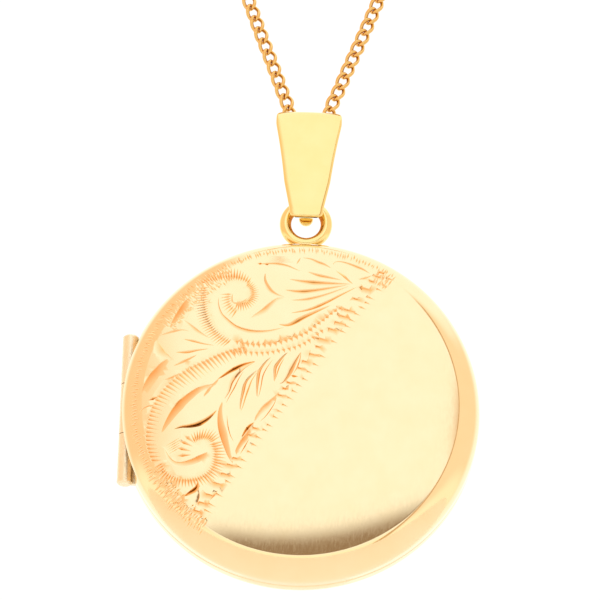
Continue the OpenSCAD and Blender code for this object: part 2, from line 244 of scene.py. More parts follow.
def curve_through(points, spacing):
    """Points at an even spacing on a smooth curve through the given ones."""
    points = np.asarray(points, float)
    padded = np.vstack([2 * points[0] - points[1], points, 2 * points[-1] - points[-2]])
    fine = []
    for i in range(len(points) - 1):
        a, b, c, d = padded[i:i + 4]
        for t in np.linspace(0, 1, CURVE_STEPS, endpoint=False):
            fine.append(0.5 * (2 * b + (c - a) * t + (2 * a - 5 * b + 4 * c - d) * t * t
                               + (3 * b - a - 3 * c + d) * t ** 3))
    fine = np.array(fine + [points[-1]])
    along = walked_along(fine)
    steps = max(2, int(round(along[-1] / spacing)) + 1)
    wanted = np.linspace(0, along[-1], steps)
    return np.stack([np.interp(wanted, along, fine[:, k]) for k in range(fine.shape[1])], axis=1)


def turn_steps(count):
    """Angles at even steps round a full turn."""
    return [2 * math.pi * k / count for k in range(count)]


def loft(rings, endless=False):
    """Vertices and faces of a skin over rings that all have the same number of points.

    An endless loft joins its last ring to its first, and any other has caps at its ends.
    """
    count, total = len(rings[0]), len(rings)
    faces = []
    for i in range(total if endless else total - 1):
        j = (i + 1) % total
        for k in range(count):
            n = (k + 1) % count
            faces.append((i * count + k, i * count + n, j * count + n, j * count + k))
    if not endless:
        faces.append(tuple(range(count - 1, -1, -1)))
        faces.append(tuple(range((total - 1) * count, total * count)))
    return [p for ring in rings for p in ring], faces


def joined(*shells):
    """Several shells as one list of vertices and one of faces."""
    vertices, faces = [], []
    for shell_vertices, shell_faces in shells:
        start = len(vertices)
        vertices.extend(shell_vertices)
        faces.extend(tuple(start + i for i in face) for face in shell_faces)
    return vertices, faces


def ring_of_wire(radius, wire_r, segments, sides):
    """A closed ring of round wire about the Y axis."""
    rings = []
    for a in turn_steps(segments):
        section = [(radius + wire_r * math.cos(b), wire_r * math.sin(b)) for b in turn_steps(sides)]
        rings.append([(r * math.cos(a), y, r * math.sin(a)) for r, y in section])
    return loft(rings, endless=True)


# ---------------------------------------------------------------- materials

# Grain of the buffed gold: its faint unevenness, and its hair scratches. Real scratches are about
# 0.01 mm apart and are drawn ten times coarser, so that they show.
WEAR_MM = 1.6
HAIR_MM = 0.12
HAIR_DEEP_MM = 0.002
BUFFED = 0.012
# Dark brown painted shade at the floors of the deepest cuts and in the seam.
DARK_SHADE = "#4A3014"


class Recipe:
    """The nodes of one material. Each method adds a node and returns its output, ready to link."""

    def __init__(self, name):
        self.material = bpy.data.materials.new(name)
        self.material.use_nodes = True
        self.tree = self.material.node_tree
        self.tree.nodes.clear()
        self.place = self.add("TexCoord", "Object")

    def add(self, kind, output, inputs=None, **options):
        """Any kind of shader node. An input is a value, or an output to link."""
        node = self.tree.nodes.new("ShaderNode" + kind)
        for option, value in options.items():
            setattr(node, option, value)
        for socket, value in (inputs or {}).items():
            if isinstance(value, bpy.types.NodeSocket):
                self.tree.links.new(value, node.inputs[socket])
            else:
                node.inputs[socket].default_value = value
        return node.outputs[output]

    def noise(self, grain_mm, detail=2.0, rough=0.5, place=None):
        return self.add("TexNoise", "Fac", {"Vector": self.place if place is None else place,
                                            "Scale": 1 / (grain_mm * MM), "Detail": detail,
                                            "Roughness": rough})

    def mix(self, amount, a, b):
        return self.add("Mix", 2, {0: amount, 6: a, 7: b}, data_type="RGBA")

    def ramp(self, value, start, end, low=0.0, high=1.0, **options):
        return self.add("MapRange", 0, {"Value": value, 1: start, 2: end, 3: low, 4: high}, **options)

    def bump(self, height, strength, deep_mm):
        return self.add("Bump", "Normal", {"Height": height, "Strength": strength,
                                           "Distance": deep_mm * MM})

    def math(self, operation, *values):
        return self.add("Math", 0, dict(enumerate(values)), operation=operation)

    def surface(self, kind, inputs):
        """Ends the recipe with its shader, and returns the finished material."""
        shader = self.add(kind, 0, inputs)
        output = self.tree.nodes.new("ShaderNodeOutputMaterial")
        self.tree.links.new(shader, output.inputs["Surface"])
        return self.material


def gold(name, colour, darker, roughness, scratch=BUFFED, deep=None):
    """Cast, stamped or drawn 9 carat yellow gold, buffed on a soft wheel.

    Buffing leaves a mirror with a faint unevenness a millimetre or two wide and hair scratches. A mesh
    that carries a cut attribute gets painted shade from it: a deeper orange gold in its cuts, seams and
    hollows, and dark brown at the deepest, in place of their darker reflections.
    """
    recipe = Recipe(name)
    tone = recipe.mix(recipe.noise(WEAR_MM, 3.0), colour, darker)
    if deep:
        # Painted shade: the mesh's cut attribute mixes in the deeper colour, then dark brown.
        cut = recipe.add("Attribute", "Fac", attribute_name="cut")
        tone = recipe.mix(cut, tone, deep)
        tone = recipe.mix(recipe.ramp(cut, 1.0, 2.0), tone, linear(DARK_SHADE))
    stretched = recipe.add("Mapping", 0, {"Vector": recipe.place, "Scale": (1.0, 1.0, 0.22),
                                          "Rotation": (0.0, 0.6, 0.0)})
    hair = recipe.noise(HAIR_MM, 4.0, 0.7, stretched)
    haze = recipe.ramp(hair, 0.35, 0.75, roughness * 0.7, roughness * 1.6)
    return recipe.surface("BsdfPrincipled", {"Base Color": tone, "Metallic": 1.0, "Roughness": haze,
                                             "Normal": recipe.bump(hair, scratch, HAIR_DEEP_MM)})


def steel_wire(name):
    """Drawn spring steel: grey, with fine die lines along the wire that blur its gloss."""
    recipe = Recipe(name)
    haze = recipe.ramp(recipe.noise(0.05), 0.0, 1.0, 0.2, 0.38)
    return recipe.surface("BsdfPrincipled", {"Base Color": linear("#B7B9BC"), "Metallic": 1.0,
                                             "Roughness": haze})


def picture_card(name):
    """Uncoated rag card, aged: cream, foxed in patches, with the soft lumps of paper pulp."""
    recipe = Recipe(name)
    pulp = recipe.noise(0.3, 6.0, 0.65)
    paper = recipe.mix(pulp, linear("#F1E8D4"), linear("#E2D5B8"))
    foxed = recipe.ramp(recipe.noise(4), 0.5, 0.75, 0.0, 0.5)
    return recipe.surface("BsdfPrincipled", {"Base Color": recipe.mix(foxed, paper, linear("#CDB488")),
                                             "Roughness": 0.85, "Normal": recipe.bump(pulp, 0.4, 0.02)})


def clear_sheet(name):
    """Pressed cellulose acetate sheet: clear, glossy, with a faint ripple from pressing."""
    recipe = Recipe(name)
    ripple = recipe.bump(recipe.noise(5), 0.15, 0.02)
    return recipe.surface("BsdfPrincipled", {"Base Color": linear("#FBFBF6"), "Roughness": 0.03,
                                             "IOR": 1.48, "Alpha": 0.16, "Normal": ripple})


def painted_board(name, colour):
    """Matt painted board for the floor: pale and even, with a slight roller mottle."""
    recipe = Recipe(name)
    mottle = recipe.bump(recipe.noise(8), 0.1, 0.1)
    return recipe.surface("BsdfPrincipled", {"Base Color": colour, "Roughness": 0.8, "Normal": mottle})


def tent_cloth(name, studio):
    """Lit cloth of a light tent: white, warm at its sides, with a low dark edge in front.

    The gold mirrors the tent, so its patches are what gives the case its tones. Each patch lies
    where all its ramps are full, and is placed by the direction from the case: X to the right,
    -Y in front, Z up, as shares of a unit length.
    """
    recipe = Recipe(name)
    way = recipe.add("VectorMath", 0, {0: recipe.place}, operation="NORMALIZE")
    right, behind, up = recipe.add("SeparateXYZ", 0, {0: way}).node.outputs
    # The dark edge bows upward to both sides.
    bowed = recipe.math("MULTIPLY_ADD", recipe.math("MULTIPLY", right, right), -0.9, up)
    bowed = recipe.math("MULTIPLY_ADD", right, -0.08, bowed)
    patches = (
        # Warm cloth on the left.
        (studio.warm[:], [(right, -0.2, -0.36)]),
        # Duller cloth on the right, which ends below the top.
        (studio.flank[:], [(right, 0.3, 0.33), (up, 0.8, 0.6)]),
        # Cream cloth below the level of the case.
        (linear("#FFF8E6"), [(up, 0.02, -0.2)]),
        # The low dark edge.
        (studio.shade[:], [(bowed, 0.073, 0.025), (bowed, -0.06, -0.03), (right, -0.24, -0.12),
                           (right, 0.31, 0.27)]),
        # The hem where the right cloth starts.
        (linear("#CBA57F"), [(right, 0.305, 0.32), (right, 0.4, 0.36), (up, 0.72, 0.6)]),
    )
    front = (behind, 0.6, 0.2)
    tone = studio.white[:]
    for colour, ramps in patches:
        amount = 1.0
        for value, start, end in [front, *ramps]:
            share = recipe.ramp(value, start, end, interpolation_type="SMOOTHSTEP")
            amount = recipe.math("MULTIPLY", share, amount)
        tone = recipe.mix(amount, tone, colour)
    return recipe.surface("Emission", {"Color": tone, "Strength": studio.light})


def finish_of(name):
    """The finish of that name, made on first use."""
    if name in bpy.data.materials:
        return bpy.data.materials[name]
    user = settings("locket_gold")
    bright, worn, pale_worn = linear("#F7E3A4"), linear("#F2D98F"), linear("#F6DEAE")
    # Colour, colour where worn, roughness, strength of the scratches, colour of the painted shade.
    golds = {
        "buffed_9ct_gold": (bright, worn, user.polish),
        "stamped_9ct_gold": (user.pale[:], pale_worn, user.polish),
        "bright_cut_9ct_gold": (user.pale[:], pale_worn, user.polish, BUFFED, user.deep[:]),
        "satin_9ct_gold": (linear("#EFD08F"), linear("#E2BE78"), 0.24, 0.35),
        "filed_9ct_gold": (linear("#FBF0D6"), linear("#F3E4C0"), 0.42, 0.2),
        "drawn_9ct_gold_wire": (user.chain[:], linear("#E8BD70"), 0.06, BUFFED, linear("#C08A45")),
        "soldered_9ct_gold_ring": (bright, worn, user.polish, BUFFED, linear("#CF8E3C")),
        "turned_9ct_gold": (linear("#F2D28E"), linear("#EAC478"), 0.1),
    }
    if name in golds:
        return gold(name, *golds[name])
    others = {"drawn_spring_steel": steel_wire, "aged_rag_card": picture_card,
              "pressed_acetate_sheet": clear_sheet}
    return others[name](name)


def dress(finish, *nodes):
    """Gives CAD nodes that stay a procedural finish."""
    for name in nodes:
        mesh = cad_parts[name].data
        mesh.materials.clear()
        mesh.materials.append(finish_of(finish))


# ---------------------------------------------------------------- camera

# The camera looks up at the locket from below its level, and leans a little.
CAMERA_DISTANCE = 348.0
CAMERA_LIFT_DEG = 21.0
CAMERA_LEAN_DEG = 1.8
VIEW_WIDTH = 41.8
SENSOR = 36.0
# Middle of the view, measured from the middle of the case across and up the view.
VIEW_ACROSS = -0.25
VIEW_UP = 8.04


class LOCKET_OT_camera(bpy.types.Operator):
    """Makes the camera"""
    bl_idname = "locket.camera"
    bl_label = "Camera"

    def execute(self, context):
        lift, lean = math.radians(CAMERA_LIFT_DEG), math.radians(CAMERA_LEAN_DEG)
        ahead = Vector((0, math.cos(lift), math.sin(lift)))
        across = Vector((1, 0, 0))
        up = Vector((0, -math.sin(lift), math.cos(lift)))
        aim = Vector(CASE_CENTRE) + across * VIEW_ACROSS + up * VIEW_UP
        right = across * math.cos(lean) + up * math.sin(lean)
        top = up * math.cos(lean) - across * math.sin(lean)
        data = bpy.data.cameras.new("camera")
        data.sensor_width = SENSOR
        data.lens = SENSOR * CAMERA_DISTANCE / VIEW_WIDTH
        data.clip_start, data.clip_end = 0.01, 10.0
        camera = linked("camera", data)
        turn = Matrix((right, top, -ahead)).transposed()
        camera.matrix_world = (Matrix.Translation((aim - ahead * CAMERA_DISTANCE) * MM)
                               @ turn.to_4x4())
        context.scene.camera = camera
        return {"FINISHED"}


# ---------------------------------------------------------------- chain

# Right half of the chain's route, from the bail up to its end. The left half mirrors it.
CHAIN_HALF = [(0, 0, 0), (0.4, 0.02, -0.01), (0.8, 0.12, -0.02), (1.1, 0.38, 0),
              (1.3, 0.75, 0.25), (1.38, 0.98, 0.7), (1.42, 1.02, 1.25), (1.6, 1, 2),
              (2, 1, 3), (2.55, 1, 4.5), (3.12, 1, 6), (3.7, 1, 7.5), (4.25, 1, 9),
              (4.8, 1, 10.5), (5.35, 1, 12), (6.05, 1, 14)]
ROUTE_STEP = 0.05
PATH_STEP = 0.4
LINK_HALF_L = 0.6
# How much sooner than an ellipse a link's sides run straight.
LINK_SQUARENESS = 1.6
LINK_STEPS = 40
WIRE_SIDES = 10
# The jump ring hangs in line with the chain's end. Its wire is thinner than its leaning box.
JUMP_WIRE_R = 0.16
JUMP_LEAN = math.atan2(0.7, 2.0)


def chain_route(spacing):
    left = [(-x, y, z) for x, y, z in CHAIN_HALF[:0:-1]]
    return curve_through(left + CHAIN_HALF, spacing)


def curb_link(half_w, wire_r, twist):
    """A stadium-shaped link of wire, its two ends turned opposite ways about its length."""
    straight = LINK_HALF_L - half_w
    centre = []
    for a in turn_steps(LINK_STEPS):
        x = straight * max(-1, min(1, LINK_SQUARENESS * math.cos(a))) + half_w * math.cos(a)
        across = half_w * math.sin(a)
        turn = twist * x / LINK_HALF_L
        centre.append(Vector((x, across * math.cos(turn), across * math.sin(turn))))
    rings = []
    for i, here in enumerate(centre):
        along = (centre[(i + 1) % LINK_STEPS] - centre[i - 1]).normalized()
        out = (here - along * here.dot(along)).normalized()
        side = along.cross(out)
        rings.append([here + wire_r * (math.cos(b) * out + math.sin(b) * side)
                      for b in turn_steps(WIRE_SIDES)])
    return loft(rings, endless=True)


class LOCKET_OT_chain(bpy.types.Operator):
    """Makes the twisted curb chain, link by link, and finishes its fittings"""
    bl_idname = "locket.chain"
    bl_label = "Chain"

    def execute(self, context):
        chain = settings("locket_chain")
        wire_r = chain.wire / MM / 2
        link_vertices, link_faces = curb_link(chain.width / MM / 2 - wire_r, wire_r, chain.twist)
        route = chain_route(ROUTE_STEP)
        along = walked_along(route)
        # Pulled tight, each link starts one wire's width inside the one before.
        spare = along[-1] - 2 * LINK_HALF_L
        count = int(round(spare / (2 * LINK_HALF_L - 2 * wire_r))) + 1
        shells = []
        for i in range(count):
            middle = LINK_HALF_L + spare / (count - 1) * i
            at, before, after = (np.array([np.interp(s, along, route[:, k]) for k in range(3)])
                                 for s in (middle, middle - LINK_HALF_L / 2, middle + LINK_HALF_L / 2))
            ahead = Vector(after - before).normalized()
            side = ahead.cross(Vector((0, 1, 0))).normalized()
            turn = Matrix((ahead, side, ahead.cross(side))).transposed()
            shells.append(([Vector(at) + turn @ v for v in link_vertices], link_faces))
        piece = new_piece("curb_chain", *joined(*shells), "neck_chain", "drawn_9ct_gold_wire", 80)
        # Painted shade: the inner sides, which face the next links, are painted darker, and the outer
        # edges a little darker.
        outs = [math.cos(b) for b in turn_steps(WIRE_SIDES)]
        shade = [0.25 * c ** 3 if c > 0 else 1.2 * c * c for c in outs]
        paint_shade(piece.data, shade * (LINK_STEPS * count))
        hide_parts("chain")
        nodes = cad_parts
        fittings = [nodes[n] for n in ("clasp_ring", "clasp_bolt", "clasp_spring")]
        fittings += make_rings()
        path = (chain_route(PATH_STEP) * MM).tolist()
        dress("turned_9ct_gold", "clasp_ring", "clasp_bolt")
        dress("drawn_spring_steel", "clasp_spring")
        return {"FINISHED"}


def make_rings():
    """The jump ring and the end ring, of drawn wire bent round and soldered."""
    across = Matrix.Rotation(-JUMP_LEAN, 3, "Y") @ Matrix.Rotation(math.pi / 2, 3, "Z")
    made = []
    for node_name, turn in (("clasp_jump_ring", across), ("end_ring", None)):
        low, high = box(node_name)
        depth, height = (high - low)[1:] / 2
        # The jump ring is turned sideways, so its depth is its outer radius.
        outer, wire_r = (depth, JUMP_WIRE_R) if turn else (height, depth)
        vertices, faces = ring_of_wire(outer - wire_r, wire_r, 72, 20)
        if turn:
            vertices = [turn @ Vector(v) for v in vertices]
        piece = new_piece(node_name + "_wire", vertices, faces, "neck_chain", "drawn_9ct_gold_wire", 80,
                          at=(low + high) / 2)
        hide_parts(node_name)
        made.append(piece)
    return made


# ---------------------------------------------------------------- covers

# The skin's points: rows of a lattice of equal-sided triangles on the dome, then rings down the
# shoulder and band, with this many points in a ring and this far apart.
ROW = 0.866
AROUND = 400
RING_STEP = 0.13
# Rings stop this far above the band's end, and one more lies just above it.
LAST_RING = 0.09
BAND_RING = 0.03
# Lattice points keep this share of a step off the first ring, and this far off a cut.
RING_CLEAR = 0.35
CUT_CLEAR = 0.04
# Depth at which a cut shows its full painted shade, and where its dark brown painted shade starts and how
# fast it comes.
TONE_DEEP = 0.08
SHADE_DEEP = 0.085
SHADE_SPAN = 0.055
# The dark brown painted shade in the seam reaches a little past its rounded edge, as a share of the
# rounding.
SEAM_REACH = 1.05
# How near a point lies to the plain outside to count as uncut, and how far the exact normal may lean
# from its face.
UNCUT_MM = 2e-3
LEAN_DEG = 12
# Free height over the hinge barrel, inside the covers.
HINGE_CLEAR = 0.75
LATHE_STEPS = 256


class Profile:
    """Outline of one half, from the crown down to the seam, by distance walked along it."""

    def __init__(self, cover, inset=0.0):
        shoulder, self.band = cover.shoulder / MM, cover.band / MM
        self.shoulder_x = CASE_R - shoulder
        drop = self.band - HALF_DEPTH
        self.dome = (shoulder ** 2 - drop ** 2 - self.shoulder_x ** 2) / (2 * (drop + shoulder))
        self.tilt = math.asin(self.shoulder_x / (self.dome - shoulder))
        self.dome_r = self.dome - inset
        self.shoulder_r = shoulder - inset
        self.edge = cover.seam_round / MM
        self.dome_end = self.dome_r * self.tilt
        self.shoulder_end = self.dome_end + self.shoulder_r * (math.pi / 2 - self.tilt)
        self.band_end = self.shoulder_end + self.band - SEAM_HALF_GAP - self.edge
        self.end = self.band_end + self.edge * math.pi / 2

    def point(self, walked):
        """Radius, height above the seam plane, and the two parts of the outward normal."""
        s = np.asarray(walked, float)
        on_dome, on_shoulder, on_band = s <= self.dome_end, s <= self.shoulder_end, s <= self.band_end
        a = np.where(on_dome, s / self.dome_r,
                     np.minimum(self.tilt + (s - self.dome_end) / self.shoulder_r, math.pi / 2))
        turned = np.maximum(s - self.band_end, 0) / self.edge
        size = np.where(on_dome, self.dome_r, self.shoulder_r)
        radius = np.where(on_dome, 0, self.shoulder_x) + size * np.sin(a)
        height = np.where(on_dome, HALF_DEPTH - self.dome, self.band) + size * np.cos(a)
        down = np.clip(s, self.shoulder_end, self.band_end) - self.shoulder_end
        radius = np.where(on_band, radius, radius - self.edge * (1 - np.cos(turned)))
        height = np.where(on_shoulder, height, height - down - self.edge * np.sin(turned))
        normal_r = np.where(on_band, np.sin(a), np.cos(turned))
        normal_h = np.where(on_shoulder, np.cos(a), np.where(on_band, 0, -np.sin(turned)))
        return radius, height, normal_r, normal_h


def plain_points(profile, step):
    """Points of the uncut skin, laid out flat. The last AROUND of them are its rim."""
    points = []
    rows = int(profile.dome_end / (step * ROW))
    for j in range(-rows, rows + 1):
        z = j * step * ROW
        columns = int(math.sqrt(max(profile.dome_end ** 2 - z * z, 0)) / step)
        shift = 0.5 * step * (j % 2)
        points.extend((i * step + shift, z) for i in range(-columns - 1, columns + 1)
                      if math.hypot(i * step + shift, z) < profile.dome_end - RING_CLEAR * step)
    rings = [profile.dome_end]
    while rings[-1] < profile.band_end - LAST_RING:
        rings.append(rings[-1] + RING_STEP)
    rings[-1:] = [profile.band_end - BAND_RING, profile.band_end]
    rings += [profile.band_end + (profile.end - profile.band_end) * k / 3 for k in (1, 2, 3)]
    for j, s in enumerate(rings):
        angles = (2 * math.pi * (i + 0.5 * (j % 2)) / AROUND for i in range(AROUND))
        points.extend((s * math.cos(a), s * math.sin(a)) for a in angles)
    return np.array(points)


def half_outside(profile, cuts, step):
    """Closed solid of a half's outside, crown up, with its cuts. Returns points, faces, depths.

    The skin is laid out flat, with distances from the crown as they are along the metal. The cuts
    bring their own points and edges, and plain points fill the rest.
    """
    points, edges = [], []
    for cut in cuts:
        cut.add_to(points, edges)
    plain = plain_points(profile, step)
    keep = cut_depth(plain, cuts, grow=CUT_CLEAR) <= 0
    keep[-AROUND:] = True
    flat = [Vector(p) for p in points] + [Vector(p) for p in plain[keep].tolist()]
    first_rim = len(flat) - AROUND
    edges += [(first_rim + i, first_rim + (i + 1) % AROUND) for i in range(AROUND)]
    filled = geometry.delaunay_2d_cdt(flat, edges, [], 0, 1e-5)
    xz = np.array([tuple(v) for v in filled[0]])
    depth = cut_depth(xz, cuts)
    walked = np.hypot(xz[:, 0], xz[:, 1])
    radius, height, normal_r, normal_h = profile.point(np.minimum(walked, profile.end))
    unit = xz / np.maximum(walked, 1e-9)[:, None]
    vertices = np.column_stack([unit * (radius - depth * normal_r)[:, None],
                                height - depth * normal_h])
    faces = [tuple(f) for f in filled[2]]
    rim_ids = [i for i in range(len(xz)) if walked[i] > profile.end - 1e-4]
    rim_ids.sort(key=lambda i: math.atan2(xz[i, 1], xz[i, 0]))
    faces.append(tuple(reversed(rim_ids)))
    return vertices, faces, depth


def lathe(outline, segments):
    """Closed solid turned about the third axis. The outline starts and ends on the axis."""
    inner = outline[1:-1]
    vertices = [(0, 0, outline[0][1]), (0, 0, outline[-1][1])]
    for a in turn_steps(segments):
        vertices.extend((r * math.cos(a), r * math.sin(a), h) for r, h in inner)
    count = len(inner)
    faces = []
    for i in range(segments):
        here, there = 2 + i * count, 2 + ((i + 1) % segments) * count
        faces.append((0, here, there))
        faces.append((1, there + count - 1, here + count - 1))
        faces.extend((here + k, here + k + 1, there + k + 1, there + k) for k in range(count - 1))
    return vertices, faces


def scratch_object(name, vertices, faces):
    """A closed solid for cutting with, in millimetres."""
    mesh = bpy.data.meshes.new(name)
    mesh.from_pydata([tuple(map(float, v)) for v in vertices], [], faces)
    outward(mesh)
    return linked(name, mesh)


def subtract(solid, *cutters):
    """The solid with the cutters taken out of it, as a new mesh. All the scratch objects go."""
    for cutter in cutters:
        change = solid.modifiers.new("cut", "BOOLEAN")
        change.operation = "DIFFERENCE"
        change.solver = "MANIFOLD"
        change.object = cutter
    graph = bpy.context.evaluated_depsgraph_get()
    mesh = bpy.data.meshes.new_from_object(solid.evaluated_get(graph))
    for used in (solid, *cutters):
        bpy.data.objects.remove(used)
    return mesh


def hinge_room(name, grow):
    """Block that clears the hinge barrel out of a half, crown up."""
    half_l = HINGE_HALF_L + KNUCKLE_GAP + grow
    sides = ((-CASE_R - 1, CHORD_X + grow), (-half_l, half_l), (-2, KNUCKLE_R + HINGE_CLEAR + grow))
    corners = [(x, y, z) for x in sides[0] for y in sides[1] for z in sides[2]]
    faces = [(0, 1, 3, 2), (4, 6, 7, 5), (0, 4, 5, 1), (2, 3, 7, 6), (0, 2, 6, 4), (1, 5, 7, 3)]
    return scratch_object(name, corners, faces)


def half_cover(name, cuts, step, side, body, finish, node_name):
    """One half of the case. side is -1 for the front half and 1 for the back half."""
    cover = settings("locket_cover")
    sheet = cover.sheet / MM
    outside = Profile(cover)
    vertices, faces, depth = half_outside(outside, cuts, step)
    solid = scratch_object("half", vertices, faces)
    # Painted shade in the cuts: a deeper orange as they get deeper, and dark brown at the floors of the
    # deepest.
    cut_shade = np.clip(depth / TONE_DEEP, 0, 1) + np.clip((depth - SHADE_DEEP) / SHADE_SPAN, 0, 1)
    # The seam's rounded edges get the full dark brown painted shade, for the shade in the gap between the
    # halves.
    seam = vertices[:, 2] < SEAM_HALF_GAP + SEAM_REACH * outside.edge
    paint_shade(solid.data, np.where(seam, 2.0, cut_shade))
    inside = Profile(cover, inset=sheet)
    walked = np.concatenate([np.linspace(0, inside.dome_end, 30)[1:],
                             np.linspace(inside.dome_end, inside.shoulder_end, 16)[1:]])
    radius, height = inside.point(walked)[:2]
    outline = [(0, HALF_DEPTH - sheet), *zip(radius, height), (CASE_R - sheet, -1), (0, -1)]
    hollow = scratch_object("hollow", *lathe(outline, LATHE_STEPS))
    hollow = linked("hollow", subtract(hollow, hinge_room("ledge", sheet)))
    mesh = subtract(solid, hinge_room("room", 0), hollow)
    crown = shaped_normals(mesh, outside)
    local = read(mesh.vertices, "co", 3)
    placed = np.column_stack([local[:, 0], SEAM_Y + side * local[:, 2], CASE_Z + local[:, 1]]) * MM
    mesh.vertices.foreach_set("co", placed.ravel())
    if side > 0:
        mesh.flip_normals()
    mesh.update()
    piece = finish_piece(name, mesh, body, finish, 24)
    set_normals(mesh, crown, side)
    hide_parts(node_name)


def shaped_normals(mesh, profile):
    """Exact normals for points on the uncut outside, and none elsewhere, crown up."""
    co = read(mesh.vertices, "co", 3)
    radius, height = np.hypot(co[:, 0], co[:, 1]), co[:, 2]
    on_shoulder = height + 1e-9 < profile.band + (radius - profile.shoulder_x) / math.tan(profile.tilt)
    rise = np.where(on_shoulder, np.maximum(height - profile.band, 0),
                    height - (HALF_DEPTH - profile.dome))
    run = np.where(on_shoulder, radius - profile.shoulder_x, radius)
    reach = np.hypot(run, rise)
    wanted = np.where(on_shoulder, profile.shoulder_r, profile.dome_r)
    exact = (np.abs(reach - wanted) < UNCUT_MM) & (height > SEAM_HALF_GAP + profile.edge - 1e-6)
    unit = co[:, :2] / np.maximum(radius, 1e-9)[:, None]
    normals = np.column_stack([unit * (run / reach)[:, None], rise / reach])
    normals[~exact] = np.nan
    return normals


def set_normals(mesh, crown, side):
    """Uses the exact normals on faces that are uncut and near them, and Blender's own on the rest."""
    own = read(mesh.corner_normals, "vector", 3, np.float32)
    owners = read(mesh.loops, "vertex_index", kind=int)
    exact = np.column_stack([crown[:, 0], side * crown[:, 2], crown[:, 1]])[owners]
    sizes = read(mesh.polygons, "loop_total", kind=int)
    face_of = np.repeat(np.arange(len(sizes)), sizes)
    facing = np.einsum("ij,ij->i", exact, read(mesh.polygons, "normal", 3, np.float32)[face_of])
    # A corner without an exact normal compares as false, and so rules its face out.
    off = ~(facing > math.cos(math.radians(LEAN_DEG)))
    use = (np.bincount(face_of, weights=off) == 0)[face_of]
    own[use] = exact[use]
    mesh.normals_split_custom_set(own.tolist())


# ---------------------------------------------------------------- engraving

# Every stroke is drawn this much wider than it is written, as the graver's point is blunt.
STROKE_W = 1.4
STROKE_STEP = 0.16


class Cut:
    """One stroke of the graver, on the flat layout of the cover's skin.

    It runs through a few points, is as wide as it says at its widest place and ends in points.
    The left and right widths are seen along the way it runs.
    """

    def __init__(self, points, left, right, depth, widest=0.5):
        self.line = curve_through(points, STROKE_STEP)
        t = np.linspace(0, 1, len(self.line))
        self.share = np.where(t < widest, t / widest, (1 - t) / (1 - widest)) ** 0.6
        self.left, self.right, self.depth = STROKE_W * left, STROKE_W * right, depth
        ahead = np.gradient(self.line, axis=0)
        ahead /= np.linalg.norm(ahead, axis=1)[:, None]
        self.normal = np.column_stack([-ahead[:, 1], ahead[:, 0]])

    def add_to(self, points, edges):
        """Adds its middle and both sides, each as a chain of edges."""
        start = len(points)
        points.extend(map(tuple, self.line))
        edges.extend((start + i, start + i + 1) for i in range(len(self.line) - 1))
        last = start + len(self.line) - 1
        for width in (self.left, -self.right):
            side = self.line + self.normal * (self.share * width)[:, None]
            first = len(points)
            points.extend(map(tuple, side[1:-1]))
            chain = [start, *range(first, len(points)), last]
            edges.extend(zip(chain, chain[1:]))

    def depth_at(self, xz, grow):
        """Depth of this cut at each point. With grow, 1 at each point that near to it."""
        result = np.zeros(len(xz))
        for i in range(len(self.line) - 1):
            a, b = self.line[i], self.line[i + 1]
            run = b - a
            length = float(np.hypot(*run))
            t = np.clip((xz - a) @ run / length ** 2, 0, 1)
            off = xz - a - t[:, None] * run
            across = off @ np.array([-run[1], run[0]]) / length
            share = self.share[i] + (self.share[i + 1] - self.share[i]) * t
            away = np.linalg.norm(off, axis=1)
            width = np.where(across >= 0, self.left, self.right) * share + grow
            here = 1.0 if grow else self.depth * share * (1 - away / np.maximum(width, 1e-9))
            result = np.maximum(result, np.where(away < width, here, 0))
        return result


def cut_depth(xz, cuts, grow=0.0):
    """How deep each point is cut, by the deepest of all the cuts."""
    depth = np.zeros(len(xz))
    for cut in cuts:
        reach = max(cut.left, cut.right) + grow
        low = cut.line.min(axis=0) - reach
        high = cut.line.max(axis=0) + reach
        near = np.flatnonzero(((xz >= low) & (xz <= high)).all(axis=1))
        if len(near):
            depth[near] = np.maximum(depth[near], cut.depth_at(xz[near], grow))
    return depth


def straight(start, end, left, right, depth, places, shares):
    """A straight cut whose width and depth are these shares of the whole at these places."""
    start, end = np.asarray(start, float), np.asarray(end, float)
    made = Cut([start, end], left, right, depth)
    made.line = np.array([start + (end - start) * t for t in places])
    made.share = np.array(shares)
    made.normal = np.repeat(made.normal[:1], len(places), axis=0)
    return made


def tick(start, end, width, depth, widest=0.12):
    """A short straight cut, widest and deepest near its start."""
    return straight(start, end, width / 2, width / 2, depth, (0.0, widest, 1.0), (0.15, 1.0, 0.0))


def chop(start, end, steep, soft, depth, tail):
    """A blunt cut with a steep side and a soft side. tail is its width at the end, as a share."""
    return straight(start, end, steep, soft, depth, (0.0, 0.12, 0.75, 1.0),
                    (0.35, 1.0, 0.3 + 0.7 * tail, tail))


def rungs(start_side, end_side, count, width, depth, widest=0.2):
    """A row of short cuts from one curve to another."""
    starts, ends = curve_through(start_side, 0.02), curve_through(end_side, 0.02)
    shares = [(i + 0.5) / count for i in range(count)]
    return [tick(starts[int(t * (len(starts) - 1))], ends[int(t * (len(ends) - 1))], width, depth, widest)
            for t in shares]


